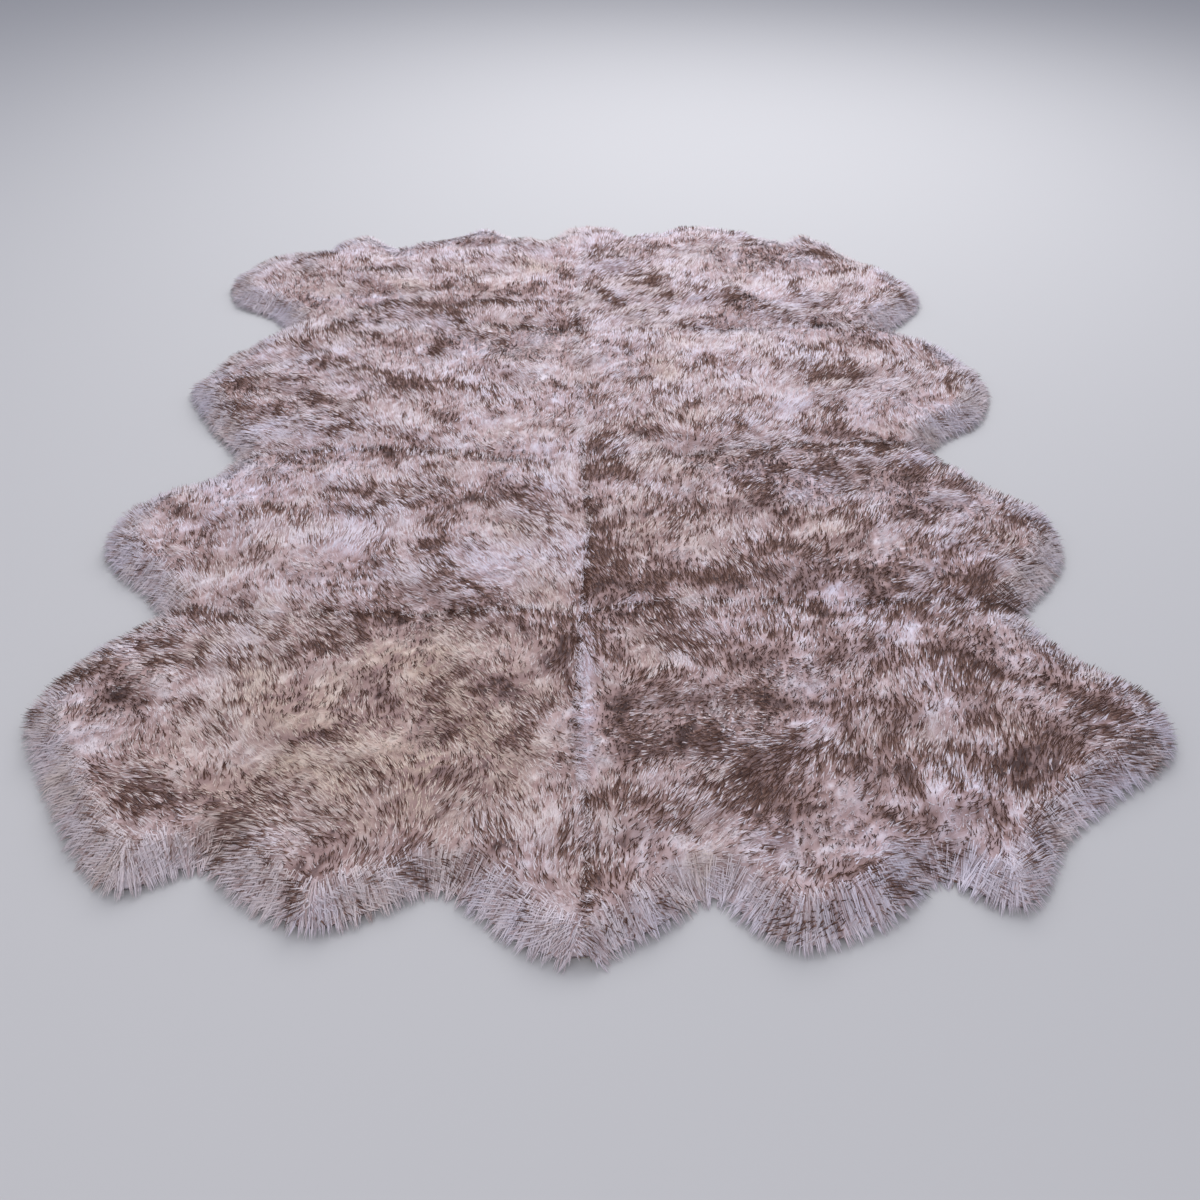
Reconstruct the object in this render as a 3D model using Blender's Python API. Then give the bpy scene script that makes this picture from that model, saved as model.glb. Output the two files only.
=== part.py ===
"""Sheepskin rug sewn from eight skins, lying flat on a floor.

Two skins lie side by side in each of four rows, necks and rumps outwards. Each
skin is one solid of hide and wool: flat underneath, lumpy on top, with pointed
wool locks that rest on the floor all round its free edge.
Metres, +Z up, +Y towards the back of the rug, +X to the right.
"""
import math
import random

import bmesh
import bpy
import numpy as np
from mathutils.geometry import delaunay_2d_cdt

# Wool and hide
PILE_HEIGHT = 0.046
LUMP_HEIGHT = 0.006
SEAM_DIP = 0.010
SEAM_DIP_WIDTH = 0.028
SEAM_GAP = 0.0003

# Locks round the free edge: how far apart, how far their tips reach out and
# the nicks between them reach in, and how far a tip leans to one side
LOCK_PITCH = 0.037
LOCK_REACH = 0.009
LOCK_NICK = 0.017
LOCK_LEAN = 0.005
LOCK_TIP_HEIGHT = 0.004

# Behind the tips the wool rises over its shoulder to full height at its crown;
# beside a notch the locks shorten, so that two skins' locks stay apart
SHOULDER_DEPTH = 0.022
SHOULDER_SHARE = 0.66
CROWN_DEPTH = 0.050
NOTCH_TAPER = 0.080

# Spacing of the points along the curves and over the top of the wool
FINE_STEP = 0.004
SEAM_STEP = 0.042
TOP_GRID = 0.040

# The centre seam from back to front: metres right, metres back
CENTRE_SEAM = (
    ("back end", 0.005, 1.215),
    ("back row", -0.012, 0.860),
    ("first crossing", -0.020, 0.530),
    ("second row", -0.008, 0.170),
    ("second crossing", 0.000, -0.070),
    ("third row", 0.016, -0.310),
    ("third crossing", 0.004, -0.525),
    ("front row", -0.002, -0.800),
    ("front lobe", 0.012, -1.030),
    ("front end", 0.010, -1.216),
)
CROSSINGS = ("first crossing", "second crossing", "third crossing")

# Where each cross seam ends in a notch between two skins, left and right
NOTCHES = {
    "left": ((-0.723, 0.567), (-0.711, -0.012), (-0.727, -0.519)),
    "right": ((0.735, 0.552), (0.722, 0.010), (0.763, -0.527)),
}
# How far each cross seam wanders from a straight line on its way out
CROSS_SEAM_BOW = {
    "left": (0.012, 0.016, -0.022),
    "right": (-0.014, 0.018, 0.015),
}

# The free edge of each skin between its seams: metres right, metres back
FREE_EDGES = {
    "back_left": (
        ("spine side", -0.052, 1.182),
        ("dip", -0.130, 1.090),
        ("thigh", -0.305, 1.160),
        ("belly", -0.495, 1.055),
        ("shank", -0.610, 1.130),
        ("shank end", -0.715, 1.030),
        ("shoulder", -0.835, 0.980),
        ("shoulder end", -0.915, 0.860),
        ("neck", -0.920, 0.780),
        ("neck end", -0.875, 0.695),
        ("notch side", -0.790, 0.645),
    ),
    "back_right": (
        ("spine side", 0.070, 1.172),
        ("dip", 0.155, 1.125),
        ("thigh", 0.330, 1.195),
        ("belly", 0.535, 1.090),
        ("shank", 0.615, 1.120),
        ("shank end", 0.715, 1.000),
        ("shoulder", 0.790, 0.900),
        ("shoulder end", 0.850, 0.800),
        ("neck", 0.860, 0.725),
        ("neck end", 0.820, 0.630),
    ),
    "midback_left": (
        ("shoulder", -0.780, 0.495),
        ("shoulder end", -0.850, 0.365),
        ("neck", -0.890, 0.265),
        ("neck end", -0.850, 0.190),
        ("notch side", -0.790, 0.085),
    ),
    "midback_right": (
        ("shoulder", 0.825, 0.470),
        ("shoulder end", 0.885, 0.385),
        ("neck side", 0.918, 0.290),
        ("neck", 0.908, 0.218),
        ("neck end", 0.860, 0.115),
        ("notch side", 0.785, 0.065),
    ),
    "midfront_left": (
        ("shoulder", -0.750, -0.090),
        ("shoulder end", -0.845, -0.160),
        ("neck side", -0.892, -0.230),
        ("neck", -0.897, -0.315),
        ("neck end", -0.850, -0.395),
        ("notch side", -0.775, -0.465),
    ),
    "midfront_right": (
        ("shoulder", 0.760, -0.075),
        ("shoulder end", 0.835, -0.150),
        ("neck side", 0.895, -0.220),
        ("neck", 0.902, -0.327),
        ("neck end", 0.866, -0.415),
        ("notch side", 0.815, -0.475),
    ),
    "front_left": (
        ("shoulder", -0.790, -0.588),
        ("shoulder end", -0.862, -0.683),
        ("neck", -0.877, -0.760),
        ("neck end", -0.840, -0.850),
        ("shank side", -0.732, -1.010),
        ("shank", -0.642, -1.104),
        ("shank end", -0.580, -1.088),
        ("dip", -0.522, -1.050),
        ("belly side", -0.485, -1.099),
        ("belly", -0.356, -1.168),
        ("belly end", -0.237, -1.119),
        ("second dip", -0.189, -1.093),
        ("thigh side", -0.145, -1.133),
        ("thigh", -0.060, -1.203),
    ),
    "front_right": (
        ("shoulder", 0.817, -0.626),
        ("shoulder end", 0.905, -0.710),
        ("neck", 0.925, -0.825),
        ("neck end", 0.863, -0.893),
        ("shank side", 0.710, -1.005),
        ("shank edge", 0.658, -1.081),
        ("shank", 0.600, -1.143),
        ("shank end", 0.526, -1.102),
        ("dip", 0.497, -1.075),
        ("belly side", 0.440, -1.140),
        ("belly", 0.303, -1.201),
        ("belly end", 0.222, -1.153),
        ("second dip", 0.182, -1.106),
        ("thigh side", 0.135, -1.147),
        ("thigh", 0.070, -1.190),
    ),
}

# Long soft furrows where the wool parts: from, to, depth and half width
FURROWS = (
    ("left shank", -0.520, -1.050, -0.470, -0.900, 0.012, 0.032),
    ("left thigh", -0.190, -1.090, -0.200, -0.960, 0.010, 0.032),
    ("right shank", 0.497, -1.075, 0.430, -0.850, 0.013, 0.034),
    ("right thigh", 0.182, -1.105, 0.175, -0.980, 0.009, 0.032),
    ("right neck", 0.640, -0.930, 0.480, -0.760, 0.010, 0.036),
    ("matted crease", -0.200, -0.560, -0.080, -0.590, 0.008, 0.026),
    ("back left band", -0.560, 0.720, -0.060, 0.690, 0.006, 0.034),
    ("back right band", 0.080, 0.840, 0.600, 0.800, 0.006, 0.034),
)

# The unevenness of the wool: length across and along the rug, turn, share
SWELLS = (
    (0.41, 0.23, 0.3, 0.40),
    (0.27, 0.17, 1.9, 0.30),
    (0.19, 0.135, 4.1, 0.30),
)

# Wool tone of each skin, as seen from a step away: red, green, blue
WOOL_TONES = {
    "back_left": (0.42, 0.33, 0.34),
    "back_right": (0.43, 0.34, 0.36),
    "midback_left": (0.37, 0.29, 0.30),
    "midback_right": (0.42, 0.34, 0.34),
    "midfront_left": (0.40, 0.32, 0.34),
    "midfront_right": (0.30, 0.23, 0.25),
    "front_left": (0.35, 0.27, 0.25),
    "front_right": (0.29, 0.22, 0.23),
}
WOOL_ROUGHNESS = 0.92
ROWS = ("back", "midback", "midfront", "front")


def distances_along(line):
    """Distance of each point of a line from its start, along the line."""
    steps = np.linalg.norm(np.diff(line, axis=0), axis=1)
    return np.concatenate([[0.0], np.cumsum(steps)])


def points_at(line, run, stops):
    """The points of a line at the given distances along it."""
    return np.column_stack([np.interp(stops, run, line[:, k]) for k in (0, 1)])


def curve_through(points, step):
    """Even points along a smooth line through the given ones, ends included."""
    marks = np.array(points, dtype=float)
    padded = np.vstack([2 * marks[0] - marks[1], marks, 2 * marks[-1] - marks[-2]])
    fine = []
    for i in range(len(marks) - 1):
        a, b, c, d = padded[i:i + 4]
        for t in np.linspace(0.0, 1.0, 24, endpoint=False):
            bend = 2 * a - 5 * b + 4 * c - d
            twist = -a + 3 * b - 3 * c + d
            fine.append(b + 0.5 * ((c - a) * t + bend * t ** 2 + twist * t ** 3))
    fine.append(marks[-1])
    fine = np.array(fine)
    run = distances_along(fine)
    count = max(1, round(run[-1] / step))
    return points_at(fine, run, np.linspace(0.0, run[-1], count + 1))


def centre_seam():
    """The centre seam in four lengths, between its ends and its crossings."""
    marks = {name: np.array((x, y)) for name, x, y in CENTRE_SEAM}
    stations = ("back end",) + CROSSINGS + ("front end",)
    smooth = curve_through([row[1:] for row in CENTRE_SEAM], FINE_STEP)
    parts = []
    for start, stop in zip(stations[:-1], stations[1:]):
        first = int(np.argmin(np.linalg.norm(smooth - marks[start], axis=1)))
        last = int(np.argmin(np.linalg.norm(smooth - marks[stop], axis=1)))
        at_back = start == "back end"
        at_front = stop == "front end"
        parts.append(seam_points(smooth[first:last + 1], at_back, at_front, LOCK_NICK))
    return parts


def cross_seam(side, row, inner):
    """A cross seam from the centre seam out to its notch."""
    notch = np.array(NOTCHES[side][row])
    middle = (inner + notch) / 2 + np.array((0.0, CROSS_SEAM_BOW[side][row]))
    smooth = curve_through([inner, middle, notch], FINE_STEP)
    return seam_points(smooth, False, True, 0.0)


def seam_points(smooth, free_start, free_end, nick):
    """Thin a seam to its steps, closer where it runs out at a free edge."""
    run = distances_along(smooth)
    lead = (nick, nick + SHOULDER_DEPTH / 2, CROWN_DEPTH)
    start = lead[2] if free_start else 0.0
    stop = run[-1] - (lead[2] if free_end else 0.0)
    count = max(1, round((stop - start) / SEAM_STEP))
    stops = list(np.linspace(start, stop, count + 1))
    if free_start:
        stops = [lead[0], lead[1]] + stops
    if free_end:
        stops = stops + [run[-1] - lead[1], run[-1] - lead[0]]
    return points_at(smooth, run, stops)


def lay_out_seams():
    """All seams as point rows: four lengths of the centre seam, six cross seams."""
    centre = centre_seam()
    cross = {}
    for side in NOTCHES:
        for row in range(3):
            cross[side, row] = cross_seam(side, row, centre[row][-1])
    return centre, cross


def free_edge(side, row):
    """Smooth free edge of a skin between the seams, from back to front."""
    start = CENTRE_SEAM[0][1:] if row == 0 else NOTCHES[side][row - 1]
    stop = CENTRE_SEAM[-1][1:] if row == 3 else NOTCHES[side][row]
    marks = [mark[1:] for mark in FREE_EDGES[f"{ROWS[row]}_{side}"]]
    return curve_through([start] + marks + [stop], FINE_STEP)


def left_normals(points):
    """Unit vectors to the left of a line's run at each of its points."""
    run = np.gradient(points, axis=0)
    run /= np.linalg.norm(run, axis=1)[:, None]
    return np.column_stack([-run[:, 1], run[:, 0]])


def lock_row(side, row, edge):
    """Tips, nicks, shoulders and crowns of the locks along a free edge."""
    rng = random.Random(f"{side} {row}")
    length = (len(edge) - 1) * FINE_STEP
    count = round(length / LOCK_PITCH)
    inward = left_normals(edge) * (1 if side == "left" else -1)
    tips = []
    nicks = []
    shoulders = []
    crowns = []
    for k in range(count):
        at = (k + 0.5 + rng.uniform(-0.16, 0.16)) / count
        spot, direction = edge_at(edge, inward, at)
        long = lock_share(side, row, at, length)
        reach = LOCK_REACH * rng.uniform(0.2, 1.0) * long
        lean = LOCK_LEAN * rng.uniform(-1.0, 1.0) * long
        tips.append(spot - direction * reach + direction[::-1] * (lean, -lean))
        shoulders.append(spot + direction * SHOULDER_DEPTH)
        crowns.append(spot + direction * CROWN_DEPTH)
        if k < count - 1:
            nick_long = lock_share(side, row, (k + 1) / count, length)
            nick, direction = edge_at(edge, inward, (k + 1) / count)
            nicks.append(nick + direction * LOCK_NICK * rng.uniform(0.6, 1.2) * nick_long)
    return tips, nicks, shoulders, crowns


def lock_share(side, row, at, length):
    """How long a lock grows at a share of an edge: shorter beside a notch."""
    from_start = 1.0 if row == 0 else at * length / NOTCH_TAPER
    from_stop = 1.0 if row == 3 else (1 - at) * length / NOTCH_TAPER
    return min(1.0, from_start, from_stop)


def edge_at(edge, inward, share):
    """The point and inward direction at a share of an edge's length."""
    place = share * (len(edge) - 1)
    low = min(int(place), len(edge) - 2)
    part = place - low
    point = edge[low] * (1 - part) + edge[low + 1] * part
    direction = inward[low] * (1 - part) + inward[low + 1] * part
    return point, direction / np.linalg.norm(direction)


def distance_to(point, lines):
    """How far a point is from the nearest of the closely spaced line points."""
    return float(np.min(np.linalg.norm(lines - point, axis=1)))


def segment_distance(point, start, stop):
    """How far a point is from a straight stretch."""
    along = stop - start
    share = np.clip(np.dot(point - start, along) / np.dot(along, along), 0.0, 1.0)
    return float(np.linalg.norm(point - start - share * along))


def body_height(point, seam_lines):
    """Height of the wool's top away from the free edges."""
    x, y = point
    height = PILE_HEIGHT
    for across, along, turn, share in SWELLS:
        wave = math.sin(2 * math.pi * x / across + turn + 1.3 * math.sin(3.1 * y + turn))
        wave *= math.cos(2 * math.pi * y / along + 2.1 * turn + 0.9 * math.sin(4.3 * x))
        height += LUMP_HEIGHT * 2.0 * share * wave
    height -= SEAM_DIP * math.exp(-(distance_to(point, seam_lines) / SEAM_DIP_WIDTH) ** 2)
    for name, x0, y0, x1, y1, depth, width in FURROWS:
        off = segment_distance(point, np.array((x0, y0)), np.array((x1, y1)))
        height -= depth * math.exp(-(off / width) ** 2)
    return height


def top_height(point, seam_lines, edge_lines):
    """Height of the wool's top, rounding down to the floor at a free edge."""
    body = body_height(point, seam_lines)
    inside = distance_to(point, edge_lines)
    share = np.interp(inside, (0.0, SHOULDER_DEPTH, CROWN_DEPTH), (0.0, SHOULDER_SHARE, 1.0))
    return LOCK_TIP_HEIGHT + (body - LOCK_TIP_HEIGHT) * float(share)


def is_inside(point, loop):
    """Whether a point lies inside a closed outline."""
    x, y = point
    ahead = np.roll(loop, -1, axis=0)
    spans = (loop[:, 1] > y) != (ahead[:, 1] > y)
    rise = np.where(ahead[:, 1] == loop[:, 1], 1.0, ahead[:, 1] - loop[:, 1])
    crossing = loop[:, 0] + (y - loop[:, 1]) * (ahead[:, 0] - loop[:, 0]) / rise
    return bool(np.count_nonzero(spans & (crossing > x)) % 2)


def drawn_in(loop, by):
    """The outline moved inwards by the same amount all round."""
    before = loop - np.roll(loop, 1, axis=0)
    after = np.roll(loop, -1, axis=0) - loop
    before /= np.linalg.norm(before, axis=1)[:, None]
    after /= np.linalg.norm(after, axis=1)[:, None]
    n_before = np.column_stack([-before[:, 1], before[:, 0]])
    n_after = np.column_stack([-after[:, 1], after[:, 0]])
    mitre = n_before + n_after
    mitre /= np.maximum(1.0 + np.sum(n_before * n_after, axis=1), 0.25)[:, None]
    return loop + mitre * by


def skin_outline(side, row, centre, cross, edge):
    """Closed outline of a skin, how many of its points are free, its lock marks."""
    tips, nicks, shoulders, crowns = lock_row(side, row, edge)
    loop = [tips[0]]
    for nick, tip in zip(nicks, tips[1:]):
        loop += [nick, tip]
    free = len(loop)
    if row < 3:
        loop += list(cross[side, row][::-1])
    loop += list(centre[row][::-1] if row == 3 else centre[row][-2::-1])
    if row > 0:
        loop += list(cross[side, row - 1][1:])
    return np.array(loop), free, shoulders + crowns


def inner_points(loop, fixed, seam_lines, edge_lines, rng):
    """Staggered, slightly uneven points over the middle of a skin."""
    low = loop.min(axis=0)
    high = loop.max(axis=0)
    kept = [np.array(point) for point in fixed]
    added = []
    rise = TOP_GRID * 0.866
    for j in range(int((high[1] - low[1]) / rise) + 1):
        shift = 0.5 * (j % 2)
        for i in range(int((high[0] - low[0]) / TOP_GRID) + 1):
            x = low[0] + (i + shift) * TOP_GRID + rng.uniform(-0.004, 0.004)
            y = low[1] + j * rise + rng.uniform(-0.004, 0.004)
            point = np.array((x, y))
            if not is_inside(point, loop):
                continue
            if distance_to(point, edge_lines) < CROWN_DEPTH + 0.012:
                continue
            if distance_to(point, seam_lines) < 0.018:
                continue
            if min(np.linalg.norm(other - point) for other in kept) < 0.62 * TOP_GRID:
                continue
            kept.append(point)
            added.append(point)
    return added


def top_faces(loop, inside):
    """Triangles between a closed outline and the points inside it."""
    spots = [tuple(point) for point in loop] + [tuple(point) for point in inside]
    outline = [list(range(len(loop)))]
    made = delaunay_2d_cdt(spots, [], outline, 1, 1e-7)
    came_from = [ids[0] for ids in made[3]]
    return [[came_from[i] for i in face] for face in made[2]]


def wool_material(name):
    """Matt wool in the skin's own tone."""
    material = bpy.data.materials.new(f"wool_{name}")
    material.use_nodes = True
    shader = material.node_tree.nodes["Principled BSDF"]
    shader.inputs["Base Color"].default_value = (*WOOL_TONES[name], 1.0)
    shader.inputs["Roughness"].default_value = WOOL_ROUGHNESS
    shader.inputs["Metallic"].default_value = 0.0
    return material


def make_skin(name, outline, seam_lines, edge_lines, rug):
    """One skin as a closed solid with a flat underside, placed in the rug."""
    loop, free, lock_marks = outline
    rng = random.Random(name)
    inside = [p for p in lock_marks
              if is_inside(p, loop) and distance_to(p, seam_lines) > 0.016]
    inside += inner_points(loop, list(loop) + inside, seam_lines, edge_lines, rng)
    heights = [LOCK_TIP_HEIGHT] * free
    heights += [top_height(p, seam_lines, edge_lines) for p in list(loop[free:]) + inside]
    turn = 1 if name.endswith("left") else -1
    trimmed = drawn_in(loop[::turn], SEAM_GAP / 2)[::turn]
    spots = np.vstack([trimmed, inside])
    place = (loop.min(axis=0) + loop.max(axis=0)) / 2
    mesh = bpy.data.meshes.new(f"skin_{name}")
    raise_wool(mesh, spots - place, heights, top_faces(loop, inside))
    mesh.materials.append(wool_material(name))
    skin = bpy.data.objects.new(f"skin_{name}", mesh)
    skin.location = (*place, 0.0)
    skin.parent = rug
    bpy.context.collection.objects.link(skin)


def raise_wool(mesh, spots, heights, faces):
    """Lay the hide flat, extrude it and lift its upper side to the wool's heights."""
    work = bmesh.new()
    lift = work.verts.layers.float.new("lift")
    verts = []
    for (x, y), height in zip(spots, heights):
        vert = work.verts.new((x, y, 0.0))
        vert[lift] = height
        verts.append(vert)
    hide = [work.faces.new([verts[i] for i in face]) for face in faces]
    raised = bmesh.ops.extrude_face_region(work, geom=hide)
    for item in raised["geom"]:
        if isinstance(item, bmesh.types.BMVert):
            item.co.z = item[lift]
    bmesh.ops.dissolve_faces(work, faces=[face for face in hide if face.is_valid])
    bmesh.ops.recalc_face_normals(work, faces=work.faces)
    work.verts.layers.float.remove(lift)
    work.to_mesh(mesh)
    work.free()


def make_rug():
    """Lay out the seams and free edges, then make the eight skins."""
    centre, cross = lay_out_seams()
    outlines = {}
    edges = []
    for side in NOTCHES:
        for row in range(4):
            edge = free_edge(side, row)
            edges.append(edge)
            name = f"{ROWS[row]}_{side}"
            outlines[name] = skin_outline(side, row, centre, cross, edge)
    edge_lines = np.vstack(edges)
    seams = list(centre) + list(cross.values())
    seam_lines = np.vstack([curve_through(seam, FINE_STEP) for seam in seams])
    reach = np.vstack([outline[0] for outline in outlines.values()])
    middle = (reach.min(axis=0) + reach.max(axis=0)) / 2
    rug = bpy.data.objects.new("rug", None)
    rug.location = (*-middle, 0.0)
    bpy.context.collection.objects.link(rug)
    for name, outline in outlines.items():
        make_skin(name, outline, seam_lines, edge_lines, rug)


for item in list(bpy.data.objects):
    bpy.data.objects.remove(item)
make_rug()
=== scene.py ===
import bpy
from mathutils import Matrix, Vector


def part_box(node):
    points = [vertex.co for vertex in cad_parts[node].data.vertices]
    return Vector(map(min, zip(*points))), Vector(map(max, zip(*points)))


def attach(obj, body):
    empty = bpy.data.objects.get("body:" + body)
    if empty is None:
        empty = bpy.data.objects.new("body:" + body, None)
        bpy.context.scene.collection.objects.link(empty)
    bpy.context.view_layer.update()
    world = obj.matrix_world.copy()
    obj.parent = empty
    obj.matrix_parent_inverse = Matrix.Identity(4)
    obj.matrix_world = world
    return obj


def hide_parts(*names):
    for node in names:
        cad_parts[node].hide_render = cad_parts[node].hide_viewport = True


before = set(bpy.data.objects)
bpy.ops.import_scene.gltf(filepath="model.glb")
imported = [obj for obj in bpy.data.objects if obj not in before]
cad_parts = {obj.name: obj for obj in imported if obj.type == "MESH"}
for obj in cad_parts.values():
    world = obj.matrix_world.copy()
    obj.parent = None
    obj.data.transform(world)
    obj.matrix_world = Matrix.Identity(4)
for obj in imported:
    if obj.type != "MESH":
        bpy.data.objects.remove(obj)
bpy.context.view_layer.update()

import math

import bmesh
import bpy
import numpy as np
from mathutils import Vector
from mathutils.bvhtree import BVHTree

# Hides: eight tanned sheepskins laid edge to edge, two to a row. Each is 2 mm of suede cut
# with a smooth edge, which stays hidden under the wool that hangs past it all round.
ROWS = ("back", "midback", "midfront", "front")
SIDES = ("left", "right")
HIDE_THICKNESS = 0.0020
HIDE_UNDERSIDE = 0.0009
HIDE_TOP = HIDE_UNDERSIDE + HIDE_THICKNESS
HIDE_BEHIND_RIM = 0.013
RIM_TIP_HEIGHT = 0.0045
BUTT_GAP = 0.00015
RIM_EVENING = 3
SAME_SPOT = 0.00001
CLOTH_GLOSS = 0.12
BLOTCH_SCALE = 5.0
BRUSH_SCALE = (30.0, 110.0, 30.0)
NAP_SCALE = 900.0
SUEDE_PALE = (0.58, 0.48, 0.38, 1.0)
SUEDE_TAN = (0.42, 0.32, 0.23, 1.0)


class Wire:
    """One output of a material's nodes; sums written on it add the Math nodes they need."""

    def __init__(self, tree, socket=None):
        self.tree = tree
        self.socket = socket

    def add(self, kind, settings, sockets, output=0):
        """Any node: its settings come first, then the values or links of its sockets."""
        node = self.tree.nodes.new(kind)
        for key, value in settings.items():
            if key == "stops":
                ramp = node.color_ramp
                while len(ramp.elements) < len(value):
                    ramp.elements.new(0.5)
                for stop, (place, colour) in zip(ramp.elements, value):
                    stop.position = place
                    stop.color = colour
            else:
                setattr(node, key, value)
        for key, value in sockets.items():
            if isinstance(value, Wire):
                self.tree.links.new(value.socket, node.inputs[key])
            else:
                node.inputs[key].default_value = value
        return Wire(self.tree, node.outputs[output])

    def maths(self, operation, first, second):
        return self.add("ShaderNodeMath", {"operation": operation}, {0: first, 1: second})

    def __add__(self, other):
        return self.maths("ADD", self, other)

    def __radd__(self, other):
        return self.maths("ADD", other, self)

    def __sub__(self, other):
        return self.maths("SUBTRACT", self, other)

    def __rsub__(self, other):
        return self.maths("SUBTRACT", other, self)

    def __mul__(self, other):
        return self.maths("MULTIPLY", self, other)

    def __rmul__(self, other):
        return self.maths("MULTIPLY", other, self)


def new_finish(name, roughness, sheen, sheen_roughness):
    """A cloth-like material: the material, its shader node and a Wire to build on."""
    material = bpy.data.materials.new(name)
    material.use_nodes = True
    shader = material.node_tree.nodes["Principled BSDF"]
    shader.inputs["Roughness"].default_value = roughness
    shader.inputs["Specular IOR Level"].default_value = CLOTH_GLOSS
    shader.inputs["Sheen Weight"].default_value = sheen
    shader.inputs["Sheen Roughness"].default_value = sheen_roughness
    return material, shader, Wire(material.node_tree)


def link(shader, name, wire):
    """Feed one socket of a shader."""
    wire.tree.links.new(wire.socket, shader.inputs[name])


def read_rim(node):
    """A skin's outline on the floor, anticlockwise from its first free point, and its free count."""
    solid = bmesh.new()
    solid.from_mesh(node.data)
    bmesh.ops.remove_doubles(solid, verts=solid.verts, dist=SAME_SPOT)
    floor = {f for f in solid.faces if max(v.co.z for v in f.verts) < SAME_SPOT}
    ahead = {}
    for edge in solid.edges:
        under = [f for f in edge.link_faces if f in floor]
        if len(under) == 1:
            for loop in under[0].loops:
                if loop.edge == edge:
                    ahead[loop.link_loop_next.vert] = loop.vert
    start = next(iter(ahead))
    ring = [start]
    while ahead[ring[-1]] != start:
        ring.append(ahead[ring[-1]])
    points = np.array([v.co.xy[:] for v in ring])
    above = []
    for vert in ring:
        near = [e.other_vert(vert).co for e in vert.link_edges]
        above.append(max([c.z for c in near if (c.xy - vert.co.xy).length < SAME_SPOT] + [0.0]))
    solid.free()
    free = np.array(above) < RIM_TIP_HEIGHT
    first = next(i for i in range(len(ring)) if free[i] and not free[i - 1])
    return np.roll(points, -first, axis=0), int(free.sum())


def soften(line, rounds):
    """Even out a zigzag line, with its ends kept."""
    for _ in range(rounds):
        middle = (line[:-2] + 2 * line[1:-1] + line[2:]) / 4
        line = np.vstack([line[:1], middle, line[-1:]])
    return line


def left_of(line):
    """Unit vectors to the left of a line's run, at each of its points."""
    run = np.gradient(line, axis=0)
    run /= np.linalg.norm(run, axis=1)[:, None]
    return np.column_stack([-run[:, 1], run[:, 0]])


def drawn_in(points, free, behind):
    """A skin's outline well behind the locks at its rim, and butted at its seams."""
    rim = soften(points[:free], RIM_EVENING)
    seam = np.vstack([points[free - 1:], points[:1]])
    inside_rim = rim + left_of(rim) * behind
    inside_seam = seam + left_of(seam) * BUTT_GAP
    return np.vstack([inside_rim[1:-1], inside_seam[1:-1]])


def slab(name, loop, low, height):
    """A flat slab over an outline, made by filling it and extruding the face."""
    mesh = bpy.data.meshes.new(name)
    count = len(loop)
    corners = [(x, y, low) for x, y in loop]
    mesh.from_pydata(corners, [(i, (i + 1) % count) for i in range(count)], [])
    piece = bpy.data.objects.new(name, mesh)
    bpy.context.collection.objects.link(piece)
    bpy.ops.object.select_all(action="DESELECT")
    piece.select_set(True)
    bpy.context.view_layer.objects.active = piece
    bpy.ops.object.mode_set(mode="EDIT")
    bpy.ops.mesh.select_all(action="SELECT")
    bpy.ops.mesh.edge_face_add()
    bpy.ops.mesh.extrude_region_move(TRANSFORM_OT_translate={"value": (0, 0, height)})
    bpy.ops.mesh.select_all(action="SELECT")
    bpy.ops.mesh.normals_make_consistent(inside=False)
    bpy.ops.object.mode_set(mode="OBJECT")
    return piece


suede, suede_shader, wire = new_finish("suede hide", 0.85, 0.35, 0.6)
place = wire.add("ShaderNodeTexCoord", {}, {}, "Object")
blotch = wire.add("ShaderNodeTexNoise", {},
                  {"Vector": place, "Scale": BLOTCH_SCALE, "Detail": 5.0})
brushed = wire.add("ShaderNodeMapping", {}, {"Vector": place, "Scale": BRUSH_SCALE})
stroke = wire.add("ShaderNodeTexNoise", {}, {"Vector": brushed, "Scale": 1.0, "Detail": 5.0})
nap = wire.add("ShaderNodeTexNoise", {}, {"Vector": place, "Scale": NAP_SCALE, "Detail": 2.0})
tone = blotch * 0.45 + stroke * 0.35 + nap * 0.20
colour = wire.add("ShaderNodeValToRGB",
                  {"stops": [(0.34, SUEDE_TAN), (0.64, SUEDE_PALE)]}, {"Fac": tone})
link(suede_shader, "Base Color", colour)
link(suede_shader, "Roughness", 0.78 + nap * 0.18)
relief = wire.add("ShaderNodeBump", {}, {"Strength": 0.5, "Distance": 0.0006,
                                         "Height": nap + stroke * 2.0})
link(suede_shader, "Normal", relief)

rims = {}
for row in ROWS:
    for side in SIDES:
        skin = f"{row}_{side}"
        points, free = read_rim(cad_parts["skin_" + skin])
        outline = drawn_in(points, free, HIDE_BEHIND_RIM)
        rims[skin] = (points, free)
        hide = slab("hide_" + skin, outline, HIDE_UNDERSIDE, HIDE_THICKNESS)
        hide.data.materials.append(suede)
        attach(hide, "root")
        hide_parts("skin_" + skin)

# Seams: the hides are overcast edge to edge from below with one waxed thread, whose
# slanting stitches cross the join every 6 mm. They show when the rug is turned over.
STITCH_PITCH = 0.0062
STITCH_REACH = 0.0042
STITCH_SLANT = 0.0016
STITCH_UNEVEN = (0.85, 1.1)
# along each stitch: how far, and how many thread radii above the underside of the hide
STITCH_BENDS = ((0.0, 1.2), (0.14, -0.9), (0.86, -0.9), (1.0, 1.2))
SEAM_REACH = 0.0012
SHORTEST_SEAM = 4
THREAD_RADIUS = 0.00036
THREAD_COLOUR = (0.62, 0.56, 0.46, 1.0)
THREAD_SHADE = (0.36, 0.31, 0.24, 1.0)
OWN_SHADING = 0.34


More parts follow.
